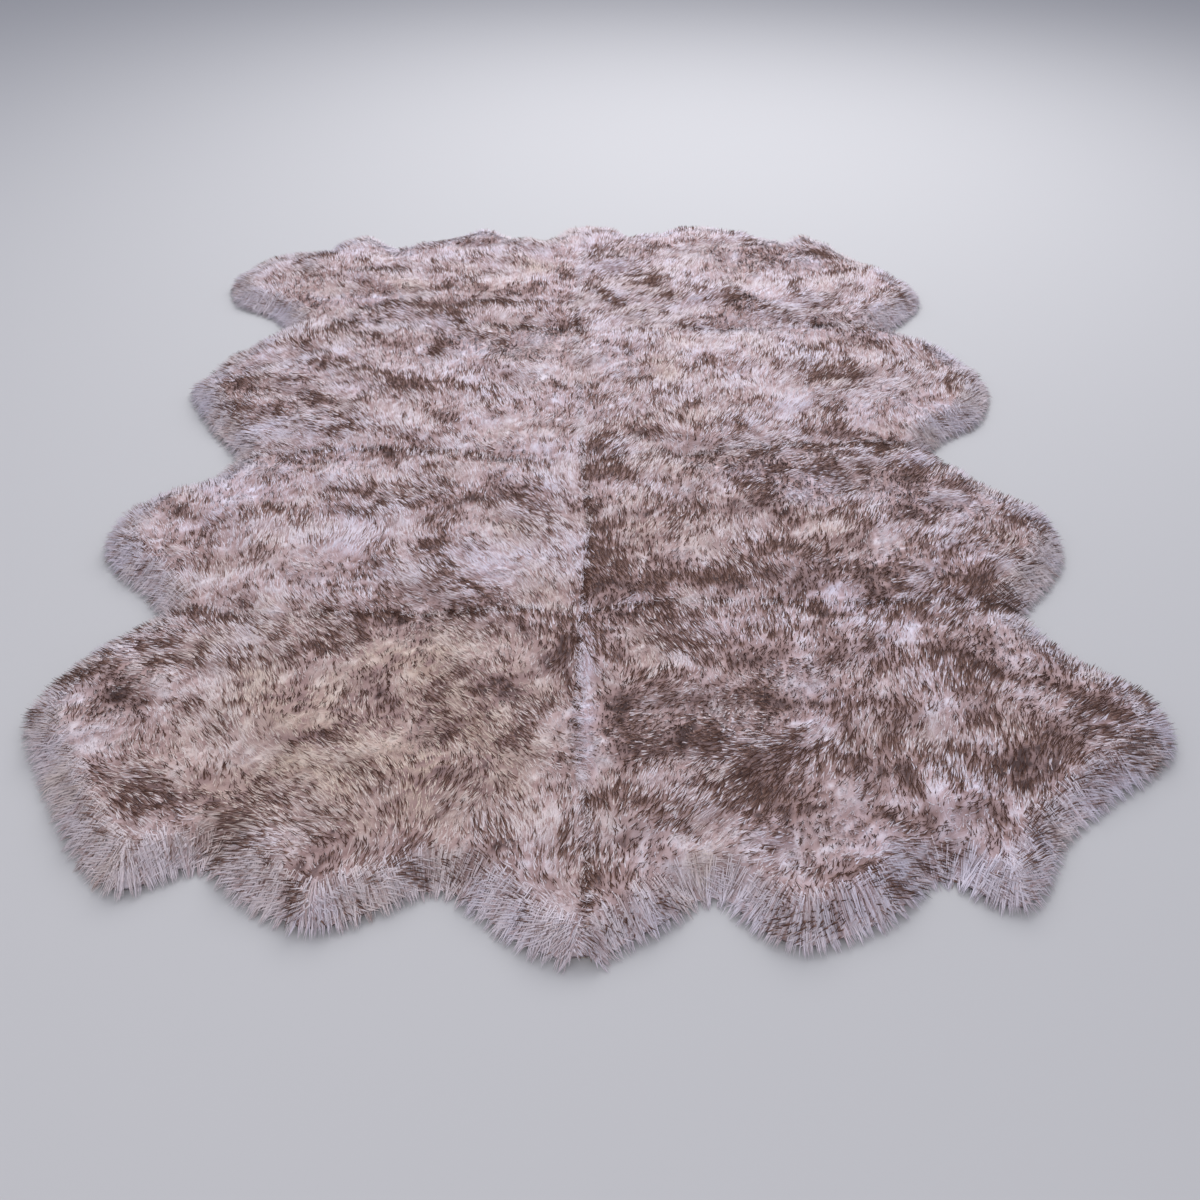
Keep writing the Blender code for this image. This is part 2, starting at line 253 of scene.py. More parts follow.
def seam_lines():
    """Each seam as an even line of points, found where two skins' outlines run together."""
    lines = []
    names = list(rims)
    for i, one in enumerate(names):
        points, free = rims[one]
        seam = np.vstack([points[free - 1:], points[:1]])
        for other in names[i + 1:]:
            far = rims[other][0]
            gap = np.linalg.norm(seam[:, None] - far[None], axis=2).min(axis=1)
            shared = seam[gap < SEAM_REACH]
            if len(shared) >= SHORTEST_SEAM:
                lines.append(shared)
    return lines


def run_of(line):
    """Distance of each point of a line from its start, along the line."""
    return np.concatenate([[0], np.cumsum(np.linalg.norm(np.diff(line, axis=0), axis=1))])


def along_line(line, pitch):
    """Even points and unit directions along a line."""
    run = run_of(line)
    stops = np.arange(pitch / 2, run[-1], pitch)
    spots = np.column_stack([np.interp(stops, run, line[:, k]) for k in (0, 1)])
    heading = np.gradient(spots, axis=0)
    return spots, heading / np.linalg.norm(heading, axis=1)[:, None]


def grow(paths, girths, flank, flatness, across, along, facing=None):
    """Three-sided tapering strands along paths of points, closed at both ends.

    girths are the half widths at all points but the tip, flank a vector beside each
    strand, across and along the corners of the map that the finish is read from, and
    facing the way that the wool around a strand faces, which its own shading follows."""
    count, stations, _ = paths.shape
    run = np.gradient(paths, axis=1)
    run /= np.linalg.norm(run, axis=2, keepdims=True)
    front = np.cross(run, flank[:, None])
    front /= np.linalg.norm(front, axis=2, keepdims=True) + 1e-9
    beside = np.cross(front, run)
    turns = np.arange(3) * 2 * math.pi / 3 + math.pi / 2
    ring = (beside[:, :-1, None] * np.cos(turns)[:, None]
            + front[:, :-1, None] * np.sin(turns)[:, None] * flatness)
    out = np.concatenate([ring.reshape(count, -1, 3), run[:, -1:]], axis=1)
    out /= np.linalg.norm(out, axis=2, keepdims=True)
    if facing is not None:
        around = np.concatenate([np.repeat(facing[:, :-1], 3, axis=1), facing[:, -1:]], axis=1)
        out = out * OWN_SHADING + around * (1 - OWN_SHADING)
        out /= np.linalg.norm(out, axis=2, keepdims=True)
    ring = paths[:, :-1, None] + ring * girths[:, :, None, None]
    verts = np.concatenate([ring.reshape(count, -1, 3), paths[:, -1:]], axis=1)
    each = verts.shape[1]
    tip = each - 1
    faces = [(0, 2, 1)]
    shares = [((0.0, 0), (0.67, 0), (0.33, 0))]
    for r in range(stations - 2):
        for i in range(3):
            a, b = 3 * r + i, 3 * r + (i + 1) % 3
            u, w = i / 3, (i + 1) / 3
            faces += [(a, b, b + 3), (a, b + 3, a + 3)]
            shares += [((u, r), (w, r), (w, r + 1)), ((u, r), (w, r + 1), (u, r + 1))]
    last = 3 * (stations - 2)
    for i in range(3):
        faces.append((last + i, last + (i + 1) % 3, tip))
        u, w = i / 3, (i + 1) / 3
        shares.append(((u, stations - 2), (w, stations - 2), ((u + w) / 2, stations - 1)))
    faces = np.array(faces)
    shares = np.array(shares)
    level = shares[..., 1].astype(int)
    index = faces[None] + np.arange(count)[:, None, None] * each
    u = across[:, 0, None, None] + shares[..., 0][None] * across[:, 1, None, None]
    v = along[:, level]
    corners = np.stack([u, v], -1).reshape(-1, 2)
    return verts.reshape(-1, 3), index.reshape(-1, 3), corners, out.reshape(-1, 3)


def joined_mesh(name, parts):
    """One object from several (points, triangles, map corners, facing)."""
    verts = np.concatenate([part[0] for part in parts])
    shift = np.cumsum([0] + [len(part[0]) for part in parts[:-1]])
    faces = np.concatenate([part[1] + by for part, by in zip(parts, shift)])
    corners = np.concatenate([part[2] for part in parts])
    mesh = bpy.data.meshes.new(name)
    mesh.vertices.add(len(verts))
    mesh.vertices.foreach_set("co", verts.astype(np.float32).ravel())
    mesh.loops.add(faces.size)
    mesh.loops.foreach_set("vertex_index", faces.astype(np.int32).ravel())
    mesh.polygons.add(len(faces))
    mesh.polygons.foreach_set("loop_start", np.arange(0, faces.size, 3, dtype=np.int32))
    mesh.polygons.foreach_set("use_smooth", np.ones(len(faces), dtype=bool))
    mesh.uv_layers.new(name="OFBake")
    mesh.update(calc_edges=True)
    mesh.uv_layers[0].data.foreach_set("uv", corners.astype(np.float32).ravel())
    mesh.normals_split_custom_set_from_vertices(np.concatenate([part[3] for part in parts]))
    piece = bpy.data.objects.new(name, mesh)
    bpy.context.collection.objects.link(piece)
    return piece


thread, thread_shader, wire = new_finish("waxed thread", 0.55, 0.2, 0.5)
map_place = wire.add("ShaderNodeUVMap", {"uv_map": "OFBake"}, {})
twist = wire.add("ShaderNodeTexWave", {"wave_type": "BANDS", "bands_direction": "DIAGONAL"},
                 {"Vector": map_place, "Scale": 9.0, "Distortion": 1.5})
colour = wire.add("ShaderNodeMix", {"data_type": "RGBA"},
                  {0: twist, 6: THREAD_SHADE, 7: THREAD_COLOUR}, 2)
link(thread_shader, "Base Color", colour)
link(thread_shader, "Normal", wire.add("ShaderNodeBump", {}, {
    "Strength": 0.6, "Distance": 0.0003, "Height": twist}))

stitches = []
rng = np.random.default_rng(11)
for line in seam_lines():
    knots, heading = along_line(line, STITCH_PITCH)
    count = len(knots)
    beside = np.column_stack([-heading[:, 1], heading[:, 0]])
    reach = STITCH_REACH * rng.uniform(*STITCH_UNEVEN, (count, 1))
    start = knots - beside * reach - heading * STITCH_SLANT
    stop = knots + beside * reach + heading * STITCH_SLANT
    path = np.zeros((count, len(STITCH_BENDS), 3))
    for k, (share, lift) in enumerate(STITCH_BENDS):
        path[:, k, :2] = start * (1 - share) + stop * share
        path[:, k, 2] = HIDE_UNDERSIDE + THREAD_RADIUS * lift
    girth = np.full((count, len(STITCH_BENDS) - 1), THREAD_RADIUS)
    flank = np.column_stack([-heading, np.zeros(count)])
    across = np.tile([0.0, 1.0], (count, 1))
    along = np.tile([share for share, _ in STITCH_BENDS], (count, 1))
    stitches.append(grow(path, girth, flank, 0.9, across, along))
stitching = joined_mesh("seam_stitching", stitches)
stitching.data.materials.append(thread)
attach(stitching, "root")
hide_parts(*["skin_" + skin for skin in rims])

# Fleece: 45 mm of dense wool on each skin, matted soft underneath, standing in tufts on
# top and combed out and down over the rim. White to cream, with the hair ends dyed dark
# brown in bands and blotches.
FIELD_STEP = 0.006
FIELD_LOW = (-1.02, -1.32)
FIELD_SIZE = (2.04, 2.64)
ABOVE_WOOL = 0.2
EVENED_OVER = 0.008
DOMES_EVENED_OVER = 0.005
LEVELLED_OVER = 0.028
FLOWS_OVER = 0.034
HOLLOW_SIZE = 0.018
HOLLOW_RANGE = (-1.5, 1.6)
LEAST_COVER = 0.3
BARE_COVER = 0.05
SEAM_FILL = 0.7
TUFT_PITCH = 0.030
TUFTS_A_SIDE = 200
TUFT_SHIFT = 0.38
TUFT_REACH = 3.0
TUFT_DOME = 0.0050
DOME_MIDDLE = 0.55
LUMP_RISE = 0.0026
RIM_SPREAD = 0.085

# the wool's upper surface, read from the solids on an even grid
columns = round(FIELD_SIZE[0] / FIELD_STEP)
lines = round(FIELD_SIZE[1] / FIELD_STEP)
top = np.zeros((lines, columns))
for skin in rims:
    solid = bmesh.new()
    solid.from_mesh(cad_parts["skin_" + skin].data)
    tree = BVHTree.FromBMesh(solid)
    solid.free()
    low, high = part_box("skin_" + skin)
    i0, j0 = (int((low[k] - FIELD_LOW[k]) / FIELD_STEP) for k in (0, 1))
    i1, j1 = (int((high[k] - FIELD_LOW[k]) / FIELD_STEP) + 2 for k in (0, 1))
    for j in range(j0, j1):
        for i in range(i0, i1):
            x = FIELD_LOW[0] + i * FIELD_STEP
            y = FIELD_LOW[1] + j * FIELD_STEP
            hit = tree.ray_cast(Vector((x, y, ABOVE_WOOL)), Vector((0, 0, -1)))[0]
            if hit is not None:
                top[j, i] = max(top[j, i], hit.z)


def blur(field, across, along):
    """Spread a field over the given distances in metres."""
    fx = np.fft.rfftfreq(field.shape[1], FIELD_STEP)
    fy = np.fft.fftfreq(field.shape[0], FIELD_STEP)[:, None]
    damp = np.exp(-2 * math.pi ** 2 * ((fx * across) ** 2 + (fy * along) ** 2))
    return np.fft.irfft2(np.fft.rfft2(field) * damp, field.shape)


def cloud(seed, across, along):
    """Seeded unevenness of one spread and swell, with a typical size of one."""
    noise = blur(np.random.default_rng(seed).standard_normal(top.shape), across, along)
    return noise / noise.std()


def at(field, x, y):
    """Values of a field at places in metres, evened between its points."""
    i = np.clip((x - FIELD_LOW[0]) / FIELD_STEP, 0, columns - 1.001)
    j = np.clip((y - FIELD_LOW[1]) / FIELD_STEP, 0, lines - 1.001)
    i0, j0 = i.astype(int), j.astype(int)
    i, j = i - i0, j - j0
    return ((field[j0, i0] * (1 - i) + field[j0, i0 + 1] * i) * (1 - j)
            + (field[j0 + 1, i0] * (1 - i) + field[j0 + 1, i0 + 1] * i) * j)


def unit(vectors):
    """The same directions at length one."""
    return vectors / np.linalg.norm(vectors, axis=-1, keepdims=True)


tuft_rng = np.random.default_rng(41)
tuft_spots = tuft_rng.uniform(-TUFT_SHIFT, TUFT_SHIFT, (TUFTS_A_SIDE, TUFTS_A_SIDE, 2))
tuft_traits = tuft_rng.standard_normal((TUFTS_A_SIDE, TUFTS_A_SIDE, 4))


def gather(x, y, pitch):
    """For each place: the vector to its tuft's middle in pitches, and the tuft's own traits."""
    ci = np.floor((x - FIELD_LOW[0]) / pitch).astype(int)
    cj = np.floor((y - FIELD_LOW[1]) / pitch).astype(int)
    best = np.full(x.shape, TUFT_REACH ** 2)
    to = np.zeros((len(x), 2))
    traits = np.zeros((len(x), 4))
    for di in (-1, 0, 1):
        for dj in (-1, 0, 1):
            i, j = (np.clip(cell, 0, TUFTS_A_SIDE - 1) for cell in (ci + di, cj + dj))
            spot = tuft_spots[j, i]
            dx = i + 0.5 + spot[:, 0] - (x - FIELD_LOW[0]) / pitch
            dy = j + 0.5 + spot[:, 1] - (y - FIELD_LOW[1]) / pitch
            near = dx * dx + dy * dy
            closer = near < best
            best = np.where(closer, near, best)
            to[closer] = np.column_stack([dx, dy])[closer]
            traits[closer] = tuft_traits[j, i][closer]
    return to, traits


# the surface evened, filled at the seams, domed over tufts and lumpy, and how it slopes
grid_x, grid_y = np.meshgrid(FIELD_LOW[0] + np.arange(columns) * FIELD_STEP,
                             FIELD_LOW[1] + np.arange(lines) * FIELD_STEP)
mask = (top > 0).astype(float)
cover = blur(mask, EVENED_OVER, EVENED_OVER)
height = np.where(cover > BARE_COVER, blur(top, EVENED_OVER, EVENED_OVER)
                  / np.maximum(cover, LEAST_COVER), 0.0)
fall_y, fall_x = np.gradient(blur(mask, FLOWS_OVER, FLOWS_OVER), FIELD_STEP)
out_x, out_y = -fall_x * RIM_SPREAD, -fall_y * RIM_SPREAD
inner = np.clip(1.0 - np.hypot(out_x, out_y), 0, 1)
level = blur(top, LEVELLED_OVER, LEVELLED_OVER)
level /= np.maximum(blur(mask, LEVELLED_OVER, LEVELLED_OVER), LEAST_COVER)
height += SEAM_FILL * inner ** 3 * np.maximum(level - height, 0)
off_middle = 2 * np.linalg.norm(gather(grid_x.ravel(), grid_y.ravel(), TUFT_PITCH)[0], axis=1)
domes = TUFT_DOME * (DOME_MIDDLE - off_middle.reshape(top.shape))
height += blur(domes, DOMES_EVENED_OVER, DOMES_EVENED_OVER) * inner
height += LUMP_RISE * cloud(51, 0.026, 0.020) * inner
rise_y, rise_x = np.gradient(blur(height, DOMES_EVENED_OVER, DOMES_EVENED_OVER), FIELD_STEP)
hollow = (blur(height, HOLLOW_SIZE, HOLLOW_SIZE) - height) * inner
hollow = np.clip(hollow / hollow.std(), *HOLLOW_RANGE)
swirl_x, swirl_y = cloud(21, 0.040, 0.035), cloud(22, 0.040, 0.035)
drift_x, drift_y = cloud(23, 0.110, 0.090), cloud(24, 0.110, 0.090)

# Markings: how dark each skin is all over, partly its dye and partly painted shade that deepens
# towards the front, and its blotches, mostly dyed hair ends but some painted shade in furrows at
# seams and folds: where, half length and width, which way turned in degrees, and how much darker,
# or paler below nought.
BLOTCH_STRENGTH = 2.0
BLOTCH_LIMIT = 0.95
DYE_LESS = 0.11
DYE_LESS_AT_RIM = 0.35
SKINS = {
    "back_left": (0.42, (
        (-0.53, 0.86, 0.055, 0.016, 0, 0.30), (-0.76, 0.825, 0.050, 0.022, 0, 0.22),
        (-0.58, 0.77, 0.060, 0.020, 0, 0.14), (-0.64, 0.88, 0.040, 0.025, 0, 0.10),
        (-0.28, 0.94, 0.040, 0.028, 0, 0.20), (-0.33, 1.03, 0.022, 0.050, 8, 0.24),
        (-0.20, 0.95, 0.020, 0.030, 0, 0.12), (-0.35, 0.755, 0.045, 0.040, -20, 0.30),
        (-0.35, 0.82, 0.020, 0.030, 0, 0.14), (-0.06, 0.84, 0.020, 0.042, 0, 0.38),
        (-0.20, 0.74, 0.090, 0.022, -8, 0.16), (-0.42, 0.65, 0.050, 0.030, 0, 0.26),
        (-0.30, 0.645, 0.055, 0.030, 0, 0.34), (-0.21, 0.67, 0.050, 0.026, 0, 0.34),
        (-0.10, 0.67, 0.060, 0.020, 0, 0.24), (-0.55, 0.66, 0.050, 0.028, 0, 0.24),
        (-0.68, 0.66, 0.030, 0.034, 0, 0.20), (-0.35, 0.595, 0.080, 0.011, 0, 0.36),
        (-0.50, 0.585, 0.040, 0.014, -35, 0.24), (-0.05, 0.57, 0.044, 0.042, 0, 0.62),
        (-0.60, 1.03, 0.050, 0.040, 0, -0.22), (-0.52, 0.95, 0.120, 0.030, 0, -0.16),
        (-0.28, 1.09, 0.070, 0.030, 0, -0.20), (-0.48, 0.80, 0.050, 0.040, 0, -0.18),
        (-0.16, 0.83, 0.060, 0.034, 0, -0.26), (-0.22, 0.605, 0.040, 0.015, 0, -0.20),
        (-0.85, 0.75, 0.035, 0.110, 0, -0.16), (-0.64, 0.55, 0.040, 0.025, 0, -0.14))),
    "back_right": (0.44, (
        (0.44, 1.01, 0.022, 0.013, 0, 0.40), (0.48, 0.96, 0.060, 0.016, 0, 0.24),
        (0.64, 0.955, 0.050, 0.022, -20, 0.22), (0.675, 0.85, 0.022, 0.045, -20, 0.26),
        (0.16, 0.99, 0.050, 0.040, 0, 0.18), (0.025, 0.96, 0.020, 0.060, 0, 0.30),
        (0.02, 0.78, 0.020, 0.055, 0, 0.36), (0.35, 0.87, 0.055, 0.018, 0, 0.20),
        (0.27, 0.94, 0.040, 0.020, 0, 0.12), (0.16, 0.765, 0.050, 0.032, 0, 0.26),
        (0.10, 0.82, 0.040, 0.020, 0, 0.14), (0.53, 0.75, 0.014, 0.032, 0, 0.34),
        (0.62, 0.695, 0.030, 0.014, -12, 0.42), (0.77, 0.735, 0.026, 0.018, 0, 0.26),
        (0.04, 0.69, 0.020, 0.046, 25, 0.40), (0.085, 0.655, 0.030, 0.016, -30, 0.24),
        (0.18, 0.68, 0.018, 0.022, 0, 0.20), (0.38, 0.65, 0.042, 0.030, -20, 0.20),
        (0.30, 0.585, 0.022, 0.016, 0, 0.20), (0.55, 0.55, 0.055, 0.020, -8, 0.26),
        (0.25, 0.535, 0.045, 0.014, 0, 0.20), (0.80, 0.69, 0.020, 0.050, 0, 0.14),
        (0.70, 0.64, 0.030, 0.030, 0, 0.10), (0.47, 0.74, 0.035, 0.090, 30, -0.34),
        (0.57, 1.05, 0.040, 0.030, 0, -0.22), (0.37, 0.94, 0.050, 0.035, 0, -0.18),
        (0.32, 1.08, 0.080, 0.022, 0, -0.18), (0.20, 0.65, 0.050, 0.030, 0, -0.10),
        (0.43, 0.56, 0.050, 0.025, 0, -0.12), (0.75, 0.56, 0.060, 0.030, 20, -0.20),
        (0.58, 0.74, 0.020, 0.020, 0, -0.16), (0.02, 1.08, 0.040, 0.050, 0, -0.16))),
    "midback_left": (0.50, (
        (-0.51, 0.47, 0.034, 0.030, -20, 0.26), (-0.33, 0.455, 0.024, 0.040, 0, 0.32),
        (-0.19, 0.47, 0.018, 0.034, 0, 0.22), (-0.12, 0.365, 0.036, 0.020, 0, 0.26),
        (-0.05, 0.38, 0.018, 0.050, -15, 0.18), (-0.57, 0.33, 0.042, 0.018, 0, 0.20),
        (-0.76, 0.235, 0.050, 0.030, -15, 0.26), (-0.70, 0.38, 0.022, 0.032, 0, 0.16),
        (-0.42, 0.27, 0.045, 0.022, -20, 0.22), (-0.38, 0.23, 0.070, 0.020, 0, 0.28),
        (-0.23, 0.225, 0.060, 0.022, 8, 0.30), (-0.17, 0.29, 0.020, 0.030, 0, 0.18),
        (-0.06, 0.25, 0.015, 0.032, 20, 0.36), (-0.57, 0.18, 0.042, 0.015, 0, 0.24),
        (-0.66, 0.155, 0.024, 0.012, 0, 0.24), (-0.635, 0.12, 0.034, 0.014, 0, 0.26),
        (-0.52, 0.115, 0.020, 0.016, -40, 0.30), (-0.29, 0.10, 0.034, 0.018, -25, 0.42),
        (-0.48, 0.055, 0.050, 0.020, 0, 0.18), (-0.40, 0.02, 0.040, 0.020, 0, 0.12),
        (-0.77, 0.13, 0.028, 0.034, 0, 0.20), (-0.03, 0.52, 0.030, 0.034, 0, 0.26),
        (-0.77, 0.46, 0.014, 0.040, -40, 0.18), (-0.76, 0.42, 0.045, 0.045, 0, -0.22),
        (-0.85, 0.21, 0.035, 0.080, 0, -0.30), (-0.54, 0.245, 0.040, 0.030, 0, -0.26),
        (-0.35, 0.34, 0.055, 0.030, 0, -0.22), (-0.60, 0.03, 0.055, 0.022, 0, -0.24),
        (-0.12, 0.28, 0.030, 0.035, 0, -0.26), (-0.01, 0.12, 0.014, 0.070, 0, -0.30),
        (-0.25, 0.44, 0.060, 0.040, 0, -0.16), (-0.50, 0.525, 0.050, 0.018, -40, -0.26),
        (-0.12, 0.47, 0.030, 0.030, 0, -0.18), (-0.38, 0.17, 0.070, 0.018, -12, -0.12))),
    "midback_right": (0.45, (
        (0.29, 0.345, 0.034, 0.026, -30, 0.34), (0.34, 0.38, 0.020, 0.024, 0, 0.20),
        (0.61, 0.335, 0.020, 0.034, 0, 0.34), (0.53, 0.29, 0.040, 0.020, 0, 0.26),
        (0.45, 0.325, 0.030, 0.018, 0, 0.12), (0.24, 0.15, 0.026, 0.013, 30, 0.40),
        (0.11, 0.275, 0.035, 0.026, -40, 0.22), (0.15, 0.21, 0.055, 0.024, 0, 0.16),
        (0.04, 0.17, 0.024, 0.030, 0, 0.34), (0.10, 0.42, 0.024, 0.040, 0, 0.14),
        (0.55, 0.15, 0.016, 0.050, -8, 0.34), (0.52, 0.035, 0.024, 0.016, 0, 0.34),
        (0.51, 0.10, 0.040, 0.035, 0, 0.20), (0.35, 0.17, 0.045, 0.040, 0, 0.16),
        (0.30, 0.06, 0.040, 0.030, 0, 0.16), (0.67, 0.15, 0.045, 0.016, 25, 0.26),
        (0.76, 0.175, 0.045, 0.010, -8, 0.22), (0.66, 0.035, 0.026, 0.034, 0, 0.26),
        (0.83, 0.27, 0.026, 0.055, 0, 0.14), (0.80, 0.40, 0.022, 0.022, 0, 0.24),
        (0.60, 0.46, 0.042, 0.018, 0, 0.20), (0.70, 0.42, 0.018, 0.030, 0, 0.18),
        (0.04, 0.025, 0.034, 0.024, 0, 0.34), (0.13, 0.05, 0.035, 0.024, 0, 0.14),
        (0.45, 0.21, 0.045, 0.080, 0, -0.34), (0.78, 0.12, 0.055, 0.034, 0, -0.34),
        (0.73, 0.35, 0.045, 0.026, 0, -0.22), (0.43, 0.12, 0.030, 0.028, 0, -0.24),
        (0.36, 0.45, 0.100, 0.038, 0, -0.20), (0.72, 0.475, 0.040, 0.022, -20, -0.26),
        (0.26, 0.24, 0.024, 0.045, 15, -0.22), (0.68, 0.25, 0.040, 0.022, 0, -0.18))),
    "midfront_left": (0.50, (
        (-0.77, -0.245, 0.030, 0.022, -25, 0.46), (-0.74, -0.205, 0.036, 0.013, -20, 0.26),
        (-0.80, -0.36, 0.036, 0.015, -55, 0.24), (-0.56, -0.25, 0.045, 0.024, -15, 0.24),
        (-0.47, -0.18, 0.080, 0.017, 0, 0.16), (-0.68, -0.34, 0.022, 0.030, 0, 0.16),
        (-0.71, -0.39, 0.035, 0.024, 0, 0.16), (-0.42, -0.235, 0.045, 0.022, 0, 0.18),
        (-0.41, -0.03, 0.045, 0.030, 0, 0.22), (-0.27, -0.35, 0.036, 0.050, 0, 0.28),
        (-0.29, -0.27, 0.034, 0.012, 45, 0.26), (-0.20, -0.205, 0.075, 0.014, 15, 0.22),
        (-0.10, -0.22, 0.050, 0.016, -15, 0.22), (-0.22, -0.055, 0.050, 0.018, 0, 0.24),
        (-0.31, -0.09, 0.050, 0.018, 0, 0.16), (-0.52, -0.06, 0.060, 0.024, 0, 0.10),
        (-0.17, -0.14, 0.030, 0.024, 0, 0.14), (-0.60, -0.50, 0.080, 0.016, 0, 0.18),
        (-0.23, -0.47, 0.045, 0.034, 35, 0.22), (-0.15, -0.51, 0.070, 0.010, -48, 0.30),
        (-0.43, -0.47, 0.110, 0.030, 0, 0.14), (-0.03, -0.41, 0.020, 0.020, 0, 0.16),
        (-0.02, -0.12, 0.014, 0.042, 0, -0.50), (-0.66, -0.13, 0.055, 0.035, 0, -0.22),
        (-0.47, -0.33, 0.085, 0.045, 0, -0.36), (-0.34, -0.34, 0.035, 0.030, 0, -0.24),
        (-0.17, -0.30, 0.060, 0.024, 0, -0.16), (-0.12, -0.41, 0.060, 0.045, 0, -0.26),
        (-0.86, -0.30, 0.030, 0.100, 0, -0.26), (-0.72, -0.47, 0.045, 0.030, -40, -0.24))),
    "midfront_right": (0.71, (
        (0.03, -0.03, 0.020, 0.034, 0, 0.36), (0.045, -0.12, 0.050, 0.040, 0, 0.20),
        (0.025, -0.24, 0.016, 0.050, 0, 0.34), (0.035, -0.34, 0.028, 0.050, 12, 0.50),
        (0.02, -0.47, 0.020, 0.030, 0, 0.46), (0.10, -0.46, 0.060, 0.026, 0, 0.34),
        (0.15, -0.41, 0.050, 0.024, 0, 0.16), (0.23, -0.228, 0.018, 0.014, 0, 0.38),
        (0.16, -0.24, 0.036, 0.020, 0, 0.14), (0.37, -0.235, 0.055, 0.028, -20, 0.24),
        (0.31, -0.14, 0.020, 0.040, 0, 0.14), (0.24, -0.46, 0.060, 0.016, 0, 0.36),
        (0.43, -0.44, 0.055, 0.018, 12, 0.34), (0.39, -0.51, 0.020, 0.018, 0, 0.24),
        (0.52, -0.44, 0.046, 0.028, 18, 0.56), (0.56, -0.39, 0.024, 0.024, 0, 0.24),
        (0.49, -0.34, 0.060, 0.022, 38, 0.42), (0.36, -0.37, 0.060, 0.028, 20, 0.16),
        (0.63, -0.34, 0.034, 0.034, 0, 0.14), (0.65, -0.13, 0.050, 0.024, 0, 0.34),
        (0.62, -0.02, 0.028, 0.034, -20, 0.42), (0.66, -0.455, 0.070, 0.028, -12, 0.34),
        (0.75, -0.515, 0.045, 0.024, 20, 0.34), (0.83, -0.285, 0.022, 0.014, 0, 0.22),
        (0.72, -0.42, 0.028, 0.030, 0, 0.26), (0.73, -0.16, 0.035, 0.028, -40, 0.20),
        (0.44, -0.31, 0.050, 0.012, 28, -0.40), (0.22, -0.37, 0.050, 0.028, 0, -0.30),
        (0.84, -0.42, 0.030, 0.070, -25, -0.36), (0.56, -0.19, 0.045, 0.022, 0, -0.26),
        (0.70, -0.20, 0.050, 0.018, 0, -0.22), (0.16, -0.10, 0.050, 0.060, 0, -0.14),
        (0.27, -0.16, 0.014, 0.070, 0, -0.18), (0.45, -0.19, 0.045, 0.030, 25, -0.20),
        (0.56, -0.32, 0.030, 0.022, 30, -0.20), (0.45, -0.12, 0.040, 0.040, 20, -0.16))),
    "front_left": (0.60, (
        (-0.78, -0.67, 0.070, 0.040, 40, 0.24), (-0.87, -0.78, 0.030, 0.030, 0, 0.40),
        (-0.635, -0.548, 0.045, 0.018, -8, 0.42), (-0.56, -0.56, 0.050, 0.022, 0, 0.16),
        (-0.34, -0.555, 0.060, 0.026, 0, 0.34), (-0.42, -0.63, 0.040, 0.030, 0, 0.28),
        (-0.23, -0.53, 0.050, 0.018, 0, 0.20), (-0.115, -0.555, 0.018, 0.014, 0, 0.28),
        (-0.03, -0.68, 0.018, 0.070, 0, 0.30), (-0.125, -0.738, 0.030, 0.018, 0, 0.34),
        (-0.06, -0.78, 0.030, 0.024, 0, 0.20), (-0.655, -0.67, 0.055, 0.022, 0, 0.38),
        (-0.71, -0.755, 0.040, 0.018, -20, 0.28), (-0.755, -0.705, 0.024, 0.024, 0, 0.24),
        (-0.82, -0.82, 0.026, 0.034, 0, 0.22), (-0.45, -0.765, 0.036, 0.018, 0, 0.26),
        (-0.35, -0.735, 0.030, 0.014, 0, 0.26), (-0.34, -0.79, 0.028, 0.016, 0, 0.24),
        (-0.233, -0.747, 0.022, 0.018, 0, 0.22), (-0.395, -0.845, 0.040, 0.018, 0, 0.20),
        (-0.42, -0.96, 0.045, 0.024, 0, 0.24), (-0.63, -0.95, 0.075, 0.036, 12, 0.28),
        (-0.505, -1.03, 0.018, 0.036, 0, 0.24), (-0.26, -1.03, 0.050, 0.020, 0, 0.16),
        (-0.35, -1.04, 0.020, 0.030, 0, 0.16), (-0.59, -0.705, 0.040, 0.028, 0, -0.30),
        (-0.55, -0.755, 0.035, 0.022, 0, -0.28), (-0.755, -0.94, 0.140, 0.045, -57, -0.60),
        (-0.62, -1.05, 0.055, 0.030, 0, -0.26), (-0.52, -0.64, 0.040, 0.026, 0, -0.18),
        (-0.20, -0.63, 0.060, 0.028, 0, -0.16), (-0.52, -0.86, 0.060, 0.030, 0, -0.14))),
    "front_right": (0.80, (
        (0.05, -0.55, 0.050, 0.022, 0, 0.26), (0.12, -0.53, 0.040, 0.014, 0, 0.20),
        (0.32, -0.525, 0.030, 0.018, 0, 0.24), (0.405, -0.53, 0.022, 0.026, 0, 0.30),
        (0.70, -0.53, 0.060, 0.018, -12, 0.26), (0.48, -0.63, 0.036, 0.018, 0, 0.16),
        (0.60, -0.645, 0.050, 0.020, 0, 0.24), (0.665, -0.685, 0.045, 0.018, -25, 0.40),
        (0.795, -0.755, 0.060, 0.022, -40, 0.42), (0.63, -0.79, 0.036, 0.016, 20, 0.28),
        (0.73, -0.84, 0.055, 0.020, -30, 0.30), (0.655, -0.915, 0.055, 0.030, -30, 0.44),
        (0.58, -0.875, 0.050, 0.012, -50, 0.30), (0.55, -0.96, 0.030, 0.024, 0, 0.26),
        (0.49, -0.94, 0.013, 0.090, 12, 0.44), (0.47, -0.81, 0.026, 0.024, 0, 0.26),
        (0.29, -0.77, 0.022, 0.034, 25, 0.30), (0.165, -0.83, 0.055, 0.026, 0, 0.30),
        (0.26, -0.92, 0.045, 0.060, -15, 0.40), (0.33, -0.955, 0.034, 0.030, 0, 0.22),
        (0.04, -0.955, 0.044, 0.024, 0, 0.30), (0.06, -0.79, 0.022, 0.090, 0, 0.34),
